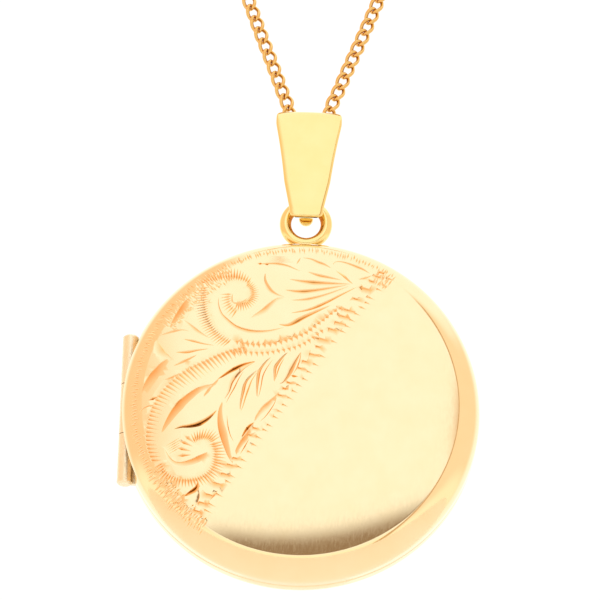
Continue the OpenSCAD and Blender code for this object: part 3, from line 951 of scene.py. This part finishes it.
def upper_scroll():
    """The upper scroll: a smooth bulb and band with hatching on both sides of the band."""
    cuts = [
        Cut([(-5.95, 7.7), (-5.92, 7.1), (-5.7, 6.45), (-5.3, 6.0), (-4.7, 5.5), (-4.0, 5.22),
             (-3.2, 5.1), (-2.3, 5.15), (-1.3, 5.4)], 0.05, 0.2, 0.09, 0.6),
        Cut([(-4.95, 7.95), (-5.0, 7.6), (-4.9, 7.25), (-4.55, 7.25), (-4.2, 7.4), (-3.95, 7.6)],
            0.04, 0.08, 0.05),
    ]
    cuts += rungs([(-6.65, 8.5), (-6.65, 7.6), (-6.55, 6.6), (-6.3, 5.8), (-5.9, 5.15), (-5.3, 4.65),
                   (-4.85, 4.4)],
                  [(-7.7, 8.5), (-7.75, 7.5), (-7.6, 6.6), (-7.35, 5.7), (-6.8, 4.7), (-6.1, 4.0),
                   (-5.45, 3.75)], 27, 0.12, 0.07, 0.3)
    cuts += rungs([(-6.9, 8.7), (-6.3, 8.85), (-5.7, 8.95), (-5.1, 9.0), (-4.6, 8.95), (-4.2, 8.85),
                   (-3.95, 8.7)],
                  [(-7.7, 9.2), (-7.0, 9.7), (-6.2, 9.95), (-5.4, 10.0), (-4.8, 10.0), (-4.1, 9.6),
                   (-3.6, 9.2)], 19, 0.13, 0.07, 0.3)
    for i in range(20):
        a = math.radians(55 - 160 * i / 19)
        centre = np.array([-4.4, 8.0])
        way = np.array([math.cos(a), math.sin(a)])
        cuts.append(tick(centre + way * 0.62, centre + way * (1.25 + 0.25 * i / 19), 0.12, 0.065, 0.3))
    cuts += rungs([(-5.02, 8.0), (-5.05, 7.6), (-5.0, 7.2), (-4.75, 6.9), (-4.55, 6.7)],
                  [(-5.85, 8.0), (-5.85, 7.4), (-5.65, 6.75), (-5.3, 6.25), (-4.9, 5.9)],
                  9, 0.12, 0.065, 0.3)
    cuts += rungs([(-4.75, 4.38), (-3.9, 4.18), (-3.0, 4.12), (-2.1, 4.22), (-1.2, 4.5), (-0.4, 4.82),
                   (0.3, 5.2), (0.9, 5.75), (1.5, 6.25), (2.1, 6.8), (2.7, 7.15)],
                  [(-4.7, 4.0), (-3.8, 3.82), (-2.85, 3.75), (-1.9, 3.88), (-0.95, 4.2), (-0.15, 4.52),
                   (0.55, 4.95), (1.15, 5.55), (1.7, 6.1), (2.3, 6.68), (2.9, 7.05)],
                  22, 0.27, 0.09, 0.15)
    cuts += rungs([(-4.9, 3.55), (-4.2, 3.6), (-3.4, 3.55), (-2.6, 3.55), (-1.9, 3.65), (-1.3, 3.8),
                   (-0.6, 4.0), (0.0, 4.3), (0.5, 4.65), (1.0, 5.1), (1.4, 5.45)],
                  [(-4.8, 3.05), (-4.1, 3.12), (-3.3, 3.1), (-2.5, 3.15), (-1.8, 3.3), (-1.15, 3.45),
                   (-0.4, 3.65), (0.2, 3.95), (0.65, 4.25), (1.1, 4.7), (1.6, 5.1)],
                  18, 0.22, 0.08, 0.2)
    return cuts


def fan_leaf():
    """The broad leaf beside the upper scroll, its cuts running together at its tip."""
    return [
        Cut([(-2.75, 9.65), (-2.75, 9.1), (-2.6, 8.65), (-2.3, 8.2), (-1.8, 7.9), (-1.25, 7.75)],
            0.12, 0.14, 0.06),
        Cut([(-1.3, 7.7), (-1.9, 7.6), (-2.4, 7.2), (-2.9, 6.7), (-3.4, 6.3), (-3.65, 6.05)],
            0.3, 0.05, 0.08, 0.6),
        Cut([(-3.4, 10.3), (-2.5, 10.4), (-1.8, 10.4), (-1.2, 10.25), (-0.7, 10.02), (-0.25, 9.8)],
            0.05, 0.15, 0.08),
        Cut([(-0.2, 10.9), (0.4, 10.85), (0.9, 10.65), (1.4, 10.45), (1.9, 10.12)], 0.05, 0.16, 0.08,
            0.6),
        Cut([(2.0, 10.35), (2.05, 10.6), (2.4, 10.72), (2.9, 10.65), (3.5, 10.45), (4.1, 10.2),
             (4.6, 9.85)], 0.05, 0.15, 0.08, 0.7),
        Cut([(-0.3, 10.9), (-0.42, 10.65), (-0.58, 10.35)], 0.04, 0.05, 0.04),
        Cut([(0.2, 9.8), (0.9, 9.58), (1.7, 9.42), (2.65, 9.22)], 0.08, 0.15, 0.09, 0.4),
        Cut([(-1.1, 9.17), (0.0, 9.05), (1.6, 8.98), (3.3, 8.95)], 0.08, 0.22, 0.11, 0.4),
        Cut([(-1.35, 8.3), (-0.3, 8.26), (1.0, 8.42), (3.1, 8.88)], 0.08, 0.2, 0.11, 0.3),
        Cut([(-0.9, 7.5), (0.2, 7.65), (1.5, 8.05), (3.25, 8.82)], 0.06, 0.15, 0.08, 0.3),
        Cut([(-0.9, 6.5), (0.4, 6.85), (1.5, 7.4), (2.6, 8.08), (3.7, 8.75)], 0.08, 0.1, 0.1, 0.4),
        Cut([(-1.7, 5.62), (-0.95, 5.62), (0.0, 6.2), (1.0, 6.75), (1.9, 7.22)], 0.13, 0.13, 0.12,
            0.35),
        Cut([(2.2, 9.95), (2.7, 9.6), (3.1, 9.22), (3.42, 8.95)], 0.08, 0.06, 0.06),
        Cut([(3.75, 9.35), (4.25, 9.5), (4.75, 9.72)], 0.05, 0.14, 0.07),
        tick((-3.28, 10.35), (-2.98, 10.36), 0.14, 0.12, 0.5),
        tick((-2.82, 10.33), (-2.52, 10.33), 0.16, 0.12, 0.6),
        *[tick((-2.6 + 0.05 * k, 10.52 + 0.1 * k), (-0.7 - 0.12 * k, 10.52 + 0.1 * k), 0.05, 0.03, 0.5)
          for k in range(5)],
    ]


def left_leaves():
    """The small leaves between the upper scroll and the hinge."""
    return [
        Cut([(-7.95, 7.62), (-8.2, 7.5), (-8.5, 7.1), (-8.8, 6.5), (-9.05, 6.0), (-9.3, 5.3)],
            0.4, 0.05, 0.09, 0.4),
        Cut([(-8.35, 5.95), (-7.9, 5.6), (-7.3, 5.1), (-6.9, 4.8), (-6.45, 4.5)], 0.05, 0.16, 0.07),
        Cut([(-10.05, 4.72), (-9.4, 4.95), (-8.9, 5.1), (-8.4, 5.15), (-7.9, 5.05)], 0.06, 0.1, 0.06),
        Cut([(-8.3, 4.45), (-7.6, 4.3), (-6.9, 4.1), (-6.1, 3.95)], 0.06, 0.09, 0.07, 0.3),
        Cut([(-8.8, 3.45), (-8.0, 3.46), (-7.3, 3.6), (-6.5, 3.7)], 0.08, 0.1, 0.08, 0.3),
        Cut([(-8.95, 2.4), (-8.3, 2.75), (-7.3, 3.25)], 0.05, 0.12, 0.06),
        Cut([(-9.55, 1.35), (-9.0, 1.6), (-8.5, 1.85)], 0.05, 0.12, 0.06),
        Cut([(-10.25, 4.45), (-9.9, 3.95), (-9.55, 3.45), (-9.05, 3.0)], 0.06, 0.4, 0.07),
        Cut([(-9.35, 2.95), (-9.8, 2.65), (-10.2, 2.2), (-10.5, 1.85), (-10.75, 1.4), (-10.95, 0.9),
             (-11.05, 0.5)], 0.45, 0.05, 0.09, 0.45),
        tick((-9.9, 0.16), (-10.6, -0.12), 0.2, 0.12, 0.5),
        Cut([(-9.95, -0.45), (-10.5, -0.5), (-10.9, -0.7), (-11.15, -1.0)], 0.07, 0.05, 0.05),
    ]


def stem_and_great_leaf():
    """The laddered stem that joins the scrolls, and the great leaf beside it."""
    cuts = rungs([(-4.0, 3.9), (-5.0, 3.7), (-6.0, 3.3), (-7.0, 2.8), (-8.0, 2.3), (-8.7, 1.75),
                  (-9.3, 1.15), (-9.75, 0.6), (-10.1, 0.0), (-10.4, -0.7), (-10.6, -1.5),
                  (-10.7, -2.3), (-10.7, -3.1), (-10.5, -3.9), (-10.2, -4.6)],
                 [(-3.75, 3.5), (-4.6, 2.9), (-5.4, 2.4), (-6.25, 1.85), (-7.1, 1.2), (-7.9, 0.8),
                  (-8.45, 0.35), (-8.9, -0.1), (-9.2, -0.6), (-9.5, -1.15), (-9.65, -1.75),
                  (-9.75, -2.4), (-9.75, -3.1), (-9.6, -3.9), (-9.35, -4.6)], 40, 0.22, 0.09, 0.15)
    cuts += [
        Cut([(-3.2, 2.8), (-4.0, 2.58), (-4.7, 2.22), (-5.3, 1.8), (-5.8, 1.4)], 0.16, 0.08, 0.15, 0.5),
        Cut([(-5.7, 1.5), (-6.1, 1.08), (-6.6, 0.95), (-7.2, 0.75), (-7.8, 0.32), (-8.2, 0.0),
             (-8.5, -0.3), (-8.8, -0.75), (-9.1, -1.3), (-9.4, -2.0), (-9.55, -2.5)],
            0.42, 0.05, 0.1, 0.6),
        Cut([(-5.75, -0.85), (-6.2, -1.3), (-6.65, -1.65), (-7.15, -1.88), (-7.7, -2.0), (-8.2, -2.05),
             (-8.7, -2.25)], 0.17, 0.12, 0.17, 0.45),
        Cut([(-6.1, 1.0), (-6.4, 0.7), (-6.65, 0.3), (-6.7, 0.1)], 0.14, 0.04, 0.05),
    ]
    return cuts


def hanging_leaves():
    """The leaves that hang from the stem towards the plain side."""
    soft = [
        ([(-3.2, 2.75), (-3.9, 2.3), (-4.4, 1.75), (-4.75, 1.2), (-4.95, 0.5), (-5.3, -0.1)], 0.05, 0.2),
        ([(-3.0, 2.15), (-3.4, 1.75), (-3.8, 1.2), (-3.95, 0.5), (-4.1, -0.3), (-4.15, -0.9)], 0.05, 0.14),
        ([(-2.1, 3.15), (-2.5, 2.7), (-2.85, 2.1), (-2.95, 1.4), (-3.0, 0.7), (-3.0, 0.1)], 0.05, 0.14),
        ([(-0.95, 3.55), (-1.4, 3.0), (-1.75, 2.4), (-1.8, 1.8), (-1.85, 1.25)], 0.05, 0.15),
        ([(-0.05, 3.6), (-0.35, 3.0), (-0.6, 2.4), (-0.8, 1.9), (-1.2, 1.3), (-1.55, 1.1)], 0.1, 0.22),
        ([(-1.45, 0.6), (-1.7, 0.3), (-2.1, -0.1), (-2.6, -0.6), (-3.0, -1.2), (-3.15, -1.7)], 0.3, 0.06),
        ([(-5.4, -0.2), (-5.58, -0.7), (-5.65, -1.3), (-5.6, -2.0), (-5.4, -2.8), (-5.1, -3.6),
          (-4.85, -4.2), (-4.5, -4.75)], 0.36, 0.05),
        ([(-3.2, -1.85), (-3.7, -2.6), (-4.1, -3.2), (-4.35, -3.8), (-4.25, -4.1)], 0.26, 0.05),
    ]
    fine = [
        ([(-4.0, 2.05), (-4.3, 1.5), (-4.6, 0.8), (-4.9, 0.2), (-5.15, -0.35)], 0.06),
        ([(-3.05, 2.0), (-3.4, 1.4), (-3.6, 0.8), (-3.78, 0.2), (-3.95, -0.5), (-4.1, -0.95)], 0.1),
        ([(-2.0, 2.95), (-2.4, 2.3), (-2.65, 1.7), (-2.75, 1.0), (-2.85, 0.4), (-2.95, 0.1)], 0.06),
        ([(-1.2, 3.1), (-1.5, 2.5), (-1.65, 2.0), (-1.8, 1.4)], 0.07),
        ([(-0.05, 3.55), (-0.15, 2.9), (-0.35, 2.3), (-0.6, 1.85)], 0.06),
        ([(-1.68, 0.2), (-1.75, -0.2), (-2.0, -0.7), (-2.4, -1.3), (-2.8, -1.7)], 0.05),
        ([(-5.05, -1.2), (-4.95, -2.0), (-4.75, -2.7), (-4.5, -3.15)], 0.05),
        ([(-3.45, -2.9), (-3.75, -3.5), (-4.05, -4.05)], 0.06),
    ]
    cuts = [Cut(points, left, right, 0.08) for points, left, right in soft]
    cuts += [Cut(points, width / 2, width / 2, 0.06) for points, width in fine]
    cuts.append(Cut([(-3.12, -1.7), (-3.5, -2.0), (-3.8, -2.45), (-3.98, -2.85)], 0.1, 0.08, 0.13, 0.4))
    return cuts


def lower_scroll():
    """The lower scroll, its ticks all round, and the small leaf under it."""
    cuts = rungs([(-9.4, -4.6), (-9.05, -5.2), (-8.6, -5.55), (-8.0, -5.7), (-7.3, -5.7),
                  (-6.7, -5.5), (-6.3, -5.2), (-6.05, -4.7), (-6.0, -4.2), (-6.05, -3.7),
                  (-6.25, -3.3)],
                 [(-10.1, -4.95), (-9.8, -5.8), (-9.0, -6.3), (-8.2, -6.45), (-7.3, -6.45),
                  (-6.4, -6.35), (-5.6, -5.95), (-5.05, -5.1), (-4.95, -4.4), (-5.0, -3.6),
                  (-5.15, -2.95)], 34, 0.16, 0.08, 0.25)
    cuts += rungs([(-6.2, -3.25), (-6.4, -3.1), (-6.7, -3.05), (-7.0, -3.15), (-7.2, -3.3)],
                  [(-5.3, -2.8), (-5.8, -2.3), (-6.5, -2.15), (-7.1, -2.3), (-7.6, -2.6)],
                  11, 0.13, 0.07, 0.3)
    cuts += [
        Cut([(-6.3, -3.9), (-6.8, -4.15), (-7.4, -4.45), (-8.0, -4.63), (-8.5, -4.62), (-8.9, -4.32),
             (-9.1, -4.0), (-9.3, -3.65)], 0.3, 0.05, 0.09, 0.2),
        tick((-7.95, -2.72), (-7.2, -3.28), 0.24, 0.1, 0.3),
        tick((-8.25, -3.1), (-7.3, -3.52), 0.22, 0.1, 0.3),
        tick((-8.42, -3.6), (-7.4, -3.85), 0.22, 0.1, 0.3),
        tick((-8.42, -4.18), (-7.4, -4.1), 0.22, 0.1, 0.4),
        *[tick((-9.25 + 0.07 * k, -3.5 - 0.13 * k), (-8.15 + 0.02 * k, -2.8 - 0.17 * k), 0.05, 0.035,
               0.5) for k in range(5)],
        Cut([(-7.85, -7.08), (-7.35, -6.7), (-7.0, -6.4), (-6.9, -6.0)], 0.07, 0.2, 0.16, 0.6),
        Cut([(-8.35, -6.6), (-8.0, -7.1), (-7.85, -7.8)], 0.16, 0.04, 0.05),
        Cut([(-6.85, -6.5), (-6.78, -7.1), (-7.05, -7.85)], 0.04, 0.16, 0.05),
    ]
    return cuts


def diagonal_border():
    """The border of square cuts with tails between the engraved and the plain side."""
    squares = [(-6.9, -8.15), (-6.6, -7.55), (-6.1, -7.0), (-5.55, -6.2), (-5.1, -5.5), (-4.75, -4.85),
               (-4.4, -4.35), (-3.45, -2.65), (-3.1, -2.15), (-1.45, 0.3), (-1.15, 0.8), (-0.85, 1.25),
               (-0.5, 1.75), (-0.15, 2.35), (0.2, 2.85), (0.7, 3.4), (1.1, 4.0), (1.4, 4.55),
               (2.0, 5.35), (2.4, 5.9), (2.75, 6.4), (3.05, 6.9), (3.65, 7.8), (4.35, 8.6),
               (4.75, 9.25), (5.15, 9.65), (5.4, 10.05)]
    sizes = [1, 1, 1.2, 1.3, 1.1, 1.1, 0.8, 0.6, 0.7, 0.7, 0.6, 0.6, 0.4, 0.6, 0.9, 1, 0.7, 1.3, 1.1,
             1, 1, 0.9, 0.7, 1.4, 0.8, 0.8, 0.7]
    cuts = []
    for (x, z), size in zip(squares, sizes):
        cuts.append(chop((x - 0.2 * size, z + 0.1 * size), (x + 0.24 * size, z - 0.02 * size),
                         0.05, 0.24 * size, 0.09, 0.9))
    tails = [(-6.1, -8.15), (-5.85, -7.7), (-5.35, -7.0), (-4.75, -6.05), (-4.5, -5.65), (-4.0, -5.0),
             (-3.75, -4.5), (-3.35, -3.9), (-3.05, -3.38), (-2.75, -2.85), (-2.35, -2.3),
             (-2.05, -1.95), (-1.65, -1.35), (-1.35, -0.92), (-1.05, -0.45), (-0.7, 0.08), (-0.4, 0.58),
             (-0.1, 1.05), (0.3, 1.5), (0.6, 2.05), (1.02, 2.62), (1.5, 3.25), (2.25, 4.4),
             (2.85, 5.2), (3.15, 5.62), (3.45, 6.1), (3.8, 6.6), (4.2, 7.1), (4.5, 7.5), (4.75, 7.9),
             (5.3, 8.6), (5.7, 8.95), (6.1, 9.5)]
    for i, (x, z) in enumerate(tails):
        long = 0.6 if i < 3 else 0.44
        cuts.append(chop((x - long / 2, z + 0.3 * long), (x + long / 2, z - 0.22 * long),
                         0.04, 0.13, 0.07, 0.05))
    return cuts


def rim_hatch(seed=4):
    """Short cuts along the rim of the engraved side, uneven as hand work is."""
    dice = random.Random(seed)
    cuts = []
    for row, (near, far, width) in enumerate(((11.3, 11.95, 0.1), (10.7, 11.45, 0.11),
                                              (10.25, 10.8, 0.11))):
        angle = 57.0
        while angle < 236:
            a = math.radians(angle + dice.uniform(-0.3, 0.3))
            way = np.array([math.cos(a), math.sin(a)])
            across = np.array([-way[1], way[0]])
            start = way * (near + dice.uniform(-0.12, 0.15))
            end = way * (far + dice.uniform(-0.2, 0.12)) + across * dice.uniform(-0.05, 0.12)
            leafy = row and (62 < angle < 118 or 150 < angle < 212 or (row == 2 and angle > 190))
            if not leafy:
                cuts.append(tick(start, end, width, 0.045, 0.4))
            angle += dice.uniform(0.85, 1.25)
    for i in range(60):
        a = math.radians(dice.uniform(206, 234))
        r = dice.uniform(10.4, 11.3)
        way = np.array([math.cos(a), math.sin(a)])
        cuts.append(tick(way * r, way * (r + dice.uniform(0.2, 0.35)), 0.09, 0.06, 0.4))
    return cuts


class LOCKET_OT_covers(bpy.types.Operator):
    """Makes the engraved front cover and the plain back cover"""
    bl_idname = "locket.covers"
    bl_label = "Covers"

    def execute(self, context):
        cuts = (upper_scroll() + fan_leaf() + left_leaves() + stem_and_great_leaf()
                + hanging_leaves() + lower_scroll() + diagonal_border() + rim_hatch())
        scale = settings("locket_cover").cut_scale
        for cut in cuts:
            cut.depth *= scale
        half_cover("engraved_front_cover", cuts, 0.4, -1, "case_front", "bright_cut_9ct_gold",
                   "front_cover")
        half_cover("plain_back_cover", [], 0.6, 1, "case_back", "stamped_9ct_gold",
                   "back_cover")
        return {"FINISHED"}


# ---------------------------------------------------------------- bail and ring

# The leaf's half widths at its foot and waist, with their heights above its end.
FOOT = (0.6, 1.2)
WAIST = (2.69, 1.635)
# How far the leaf's sides draw in above the waist, and the rounding of its lower corners.
LEAF_HOLLOW = 0.05
LEAF_CORNER = 0.42
# Length over which an end of the sheet rounds off.
END_REACH = 0.14
# Half width of the sheet as it passes over the crest, as places from front (-1) to back (0) with
# how much narrower than the leaf it is. Past these it narrows to the strap.
CREST_PLACES = [-1.0, -0.8, -0.64, -0.5, -0.4]
CREST_LESS = [0, 0.02, 0.08, 0.17, 0.3]
# How much wider the strap is at the crest than at its rounded end, on each side, how far that end
# lies above the leaf's, and the strap's faint crown.
STRAP_FLARE = 0.05
TIP_LIFT = 0.05
STRAP_CROWN = 0.02
# The lower bend is this much thinner where it lies against leaf and strap, clears the ring by
# RING_PLAY and is rounded at its edges by BEND_EDGE.
TUCK = 0.03
RING_PLAY = 0.025
BEND_EDGE = 0.08
RING_STEPS = 128
RING_SIDES = 40


def sheet_section(half_w, half_t, edge, crown):
    """Closed outline of a sheet: across it, and outwards. Its outer face is crowned."""
    edge = min(edge, 0.9 * half_w, 0.95 * half_t)
    flat_w = half_w - edge
    corner = [math.radians(d) for d in (60, 30, 0)]
    low = crown * (flat_w / half_w) ** 2
    right = [(flat_w + edge * math.cos(c), half_t - low - edge + edge * math.sin(c)) for c in corner]
    right += [(flat_w + edge * math.cos(c), -half_t + edge - edge * math.sin(c))
              for c in reversed(corner)]
    return ([(a, half_t - crown * (a / half_w) ** 2) for a in np.linspace(-flat_w, flat_w, 13)]
            + right
            + [(a, -half_t) for a in np.linspace(flat_w, -flat_w, 13)]
            + [(-a, b) for a, b in reversed(right)])


def sheet_loft(stations, edge):
    """A bent sheet. A station is its middle (y, z), outward direction (y, z), half width,
    half thickness and crown."""
    return loft([[(a, y + b * out_y, z + b * out_z) for a, b in sheet_section(half_w, half_t, edge, crown)]
                 for (y, z), (out_y, out_z), half_w, half_t, crown in stations])


def leaf_w(z):
    """Half width of the leaf at a height."""
    waist_z = LEAF_END_Z + WAIST[0]
    width = float(np.interp(z, [LEAF_END_Z + FOOT[0], waist_z, CREST_Z - 0.2],
                            [FOOT[1], WAIST[1], LEAF_HALF_W]))
    width -= LEAF_HOLLOW * math.sin(math.pi * min(max((z - waist_z) / (CREST_Z - waist_z), 0), 1))
    left = max(LEAF_CORNER - (z - LEAF_END_Z), 0)
    return width - (LEAF_CORNER - math.sqrt(LEAF_CORNER ** 2 - left ** 2))


def end_t(half_t, left):
    """Half thickness of the sheet that far from a rounded end, never quite nothing."""
    return half_t * math.sqrt(max(1 - max(1 - left / END_REACH, 0) ** 2, 0.02))


class LOCKET_OT_bail(bpy.types.Operator):
    """Makes the folded bail: a wide front leaf, its crest, and the strap behind and through the ring"""
    bl_idname = "locket.bail"
    bl_label = "Bail"

    def execute(self, context):
        bail = settings("locket_bail")
        half_t, strap = bail.sheet / MM / 2, bail.strap / MM / 2
        edge, crown = bail.edge / MM, bail.crown / MM
        middle_r = BAIL_R - half_t
        # The leaf, upward.
        heights = [LEAF_END_Z + e for e in (0.0, 0.01, 0.03, 0.06, 0.1, 0.14, 0.2, 0.3)]
        heights += list(np.linspace(LEAF_END_Z + 0.45, CREST_Z, 44))
        stations = [((-middle_r, z), (-1, 0), leaf_w(z), end_t(half_t, z - LEAF_END_Z), crown)
                    for z in heights]
        # The crest, from front to back.
        narrow = strap + STRAP_FLARE
        places = CREST_PLACES + [-0.3, -0.15, 0.0]
        widths = [LEAF_HALF_W - less for less in CREST_LESS] + [1.7, 1.1, narrow]
        for a in np.radians(np.linspace(0, 180, 49)[1:]):
            width = float(np.interp(-BAIL_R * math.cos(a), places, widths))
            share = min(max((width - narrow) / (LEAF_HALF_W - narrow), 0), 1)
            stations.append(((-middle_r * math.cos(a), CREST_Z + middle_r * math.sin(a)),
                             (-math.cos(a), math.sin(a)), width, half_t, crown * share))
        # The strap, downward to its rounded end.
        tip = LEAF_END_Z + TIP_LIFT
        for z in np.linspace(CREST_Z, tip + strap, 30)[1:]:
            width = strap + STRAP_FLARE * (z - tip) / (CREST_Z - tip)
            stations.append(((middle_r, z), (1, 0), width, half_t, STRAP_CROWN))
        for left in (0.42, 0.34, 0.26, 0.19, 0.13, 0.08, 0.04, 0.015, 0.002):
            width = math.sqrt(strap ** 2 - (strap - left) ** 2)
            stations.append(((middle_r, tip + left), (1, 0), width, end_t(half_t, left), STRAP_CROWN))
        # The bend that passes through the ring, resting in its hole.
        hole = RING_R - RING_WIRE_R
        bend_z = RING_Z + math.sqrt(hole ** 2 - strap ** 2) - RING_PLAY + BAIL_R - 2 * half_t
        tucked = half_t - TUCK
        bend = [((-middle_r, bend_z + lift), (-1, 0), strap, tucked, 0.0) for lift in (0.5, 0.25)]
        bend += [((-middle_r * math.cos(a), bend_z - middle_r * math.sin(a)),
                  (-math.cos(a), -math.sin(a)), strap, half_t if 0.2 < a < 2.9 else tucked, 0.0)
                 for a in np.radians(np.linspace(0, 180, 37))]
        bend += [((middle_r, bend_z + lift), (1, 0), strap, tucked, 0.0) for lift in (0.25, 0.5)]
        vertices, faces = joined(sheet_loft(stations, edge), sheet_loft(bend, BEND_EDGE))
        piece = new_piece("folded_bail", vertices, faces, "bail_loop", "buffed_9ct_gold", 50)
        outward(piece.data)
        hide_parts("bail")
        return {"FINISHED"}


class LOCKET_OT_ring(bpy.types.Operator):
    """Makes the pendant ring and finishes its saddle"""
    bl_idname = "locket.ring"
    bl_label = "Pendant ring"

    def execute(self, context):
        vertices, faces = ring_of_wire(RING_R, RING_WIRE_R, RING_STEPS, RING_SIDES)
        piece = new_piece("wire_pendant_ring", vertices, faces, "case_back", "soldered_9ct_gold_ring",
                          80, at=(0, 0, RING_Z))
        # The inner wall gets painted shade, a deeper orange, in place of its darker reflection.
        inward = [-math.cos(b) for b in turn_steps(RING_SIDES)]
        paint_shade(piece.data, [min(max((c - 0.35) / 0.35, 0), 1) for c in inward] * RING_STEPS)
        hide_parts("pendant_ring")
        dress("buffed_9ct_gold", "ring_seat")
        return {"FINISHED"}


class LOCKET_OT_fittings(bpy.types.Operator):
    """Finishes the hinge, the picture wells, windows, cards and snap rim"""
    bl_idname = "locket.fittings"
    bl_label = "Hinge and inside"

    def execute(self, context):
        dress("filed_9ct_gold", "back_knuckle_upper", "back_knuckle_lower", "front_knuckle",
              "hinge_pin")
        dress("satin_9ct_gold", "back_mouth_plate", "front_mouth_plate", "back_picture_frame",
              "front_picture_frame", "snap_rim")
        dress("aged_rag_card", "back_picture", "front_picture")
        dress("pressed_acetate_sheet", "back_window", "front_window")
        return {"FINISHED"}


# ---------------------------------------------------------------- studio

# The floor lies below the locket, and its edge just inside the tent.
FLOOR_Z = -0.2
FLOOR_SHARE = 0.93
BACKGROUND = 1.05


def stage_piece(name, at, material, shape, inside_out=False, **sizes):
    """A shape made by a bmesh operator, in metres."""
    mesh = bpy.data.meshes.new(name)
    work = bmesh.new()
    shape(work, **sizes)
    if inside_out:
        bmesh.ops.reverse_faces(work, faces=work.faces)
    work.to_mesh(mesh)
    work.free()
    mesh.polygons.foreach_set("use_smooth", [True] * len(mesh.polygons))
    mesh.materials.append(material)
    piece = linked(name, mesh)
    piece.location = at
    return piece


class LOCKET_OT_studio(bpy.types.Operator):
    """Makes the floor, the light tent and the white background"""
    bl_idname = "locket.studio"
    bl_label = "Studio"

    def execute(self, context):
        studio = settings("locket_studio")
        floor = stage_piece("floor", (0, 0, FLOOR_Z), painted_board("painted_board", studio.floor[:]),
                            bmesh.ops.create_circle, cap_ends=True, segments=96,
                            radius=studio.tent_r * FLOOR_SHARE)
        tent = stage_piece("light_tent", Vector(CASE_CENTRE) * MM, tent_cloth("lit_tent_cloth", studio),
                           bmesh.ops.create_uvsphere, inside_out=True, u_segments=96, v_segments=48,
                           radius=studio.tent_r)
        tent.visible_camera = False
        world = bpy.data.worlds.new("white_background")
        world.use_nodes = True
        background = world.node_tree.nodes["Background"].inputs
        background["Color"].default_value = (1, 1, 1, 1)
        background["Strength"].default_value = BACKGROUND
        context.scene.world = world
        context.scene.view_settings.view_transform = "Standard"
        return {"FINISHED"}


class LOCKET_PT_panel(bpy.types.Panel):
    """Lists the pieces of the locket"""
    bl_label = "Locket"
    bl_idname = "LOCKET_PT_panel"
    bl_space_type = "VIEW_3D"
    bl_region_type = "UI"
    bl_category = "Locket"

    def draw(self, context):
        for group_name, group in GROUPS.items():
            column = self.layout.column(align=True)
            for key in group.__annotations__:
                column.prop(getattr(context.scene, group_name), key)
        for operator in OPERATORS:
            self.layout.operator(operator.bl_idname)


OPERATORS = (LOCKET_OT_camera, LOCKET_OT_chain, LOCKET_OT_covers, LOCKET_OT_bail, LOCKET_OT_ring,
             LOCKET_OT_fittings, LOCKET_OT_studio)
CLASSES = (*GROUPS.values(), *OPERATORS, LOCKET_PT_panel)


def register():
    for made in CLASSES:
        bpy.utils.register_class(made)
    for name, group in GROUPS.items():
        setattr(bpy.types.Scene, name, bpy.props.PointerProperty(type=group))


def unregister():
    for name in GROUPS:
        delattr(bpy.types.Scene, name)
    for made in reversed(CLASSES):
        bpy.utils.unregister_class(made)


def main():
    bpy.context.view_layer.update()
    register()
    for name in ("camera", "chain", "covers", "bail", "ring", "fittings", "studio"):
        getattr(bpy.ops.locket, name)()


if __name__ == "__main__":
    main()
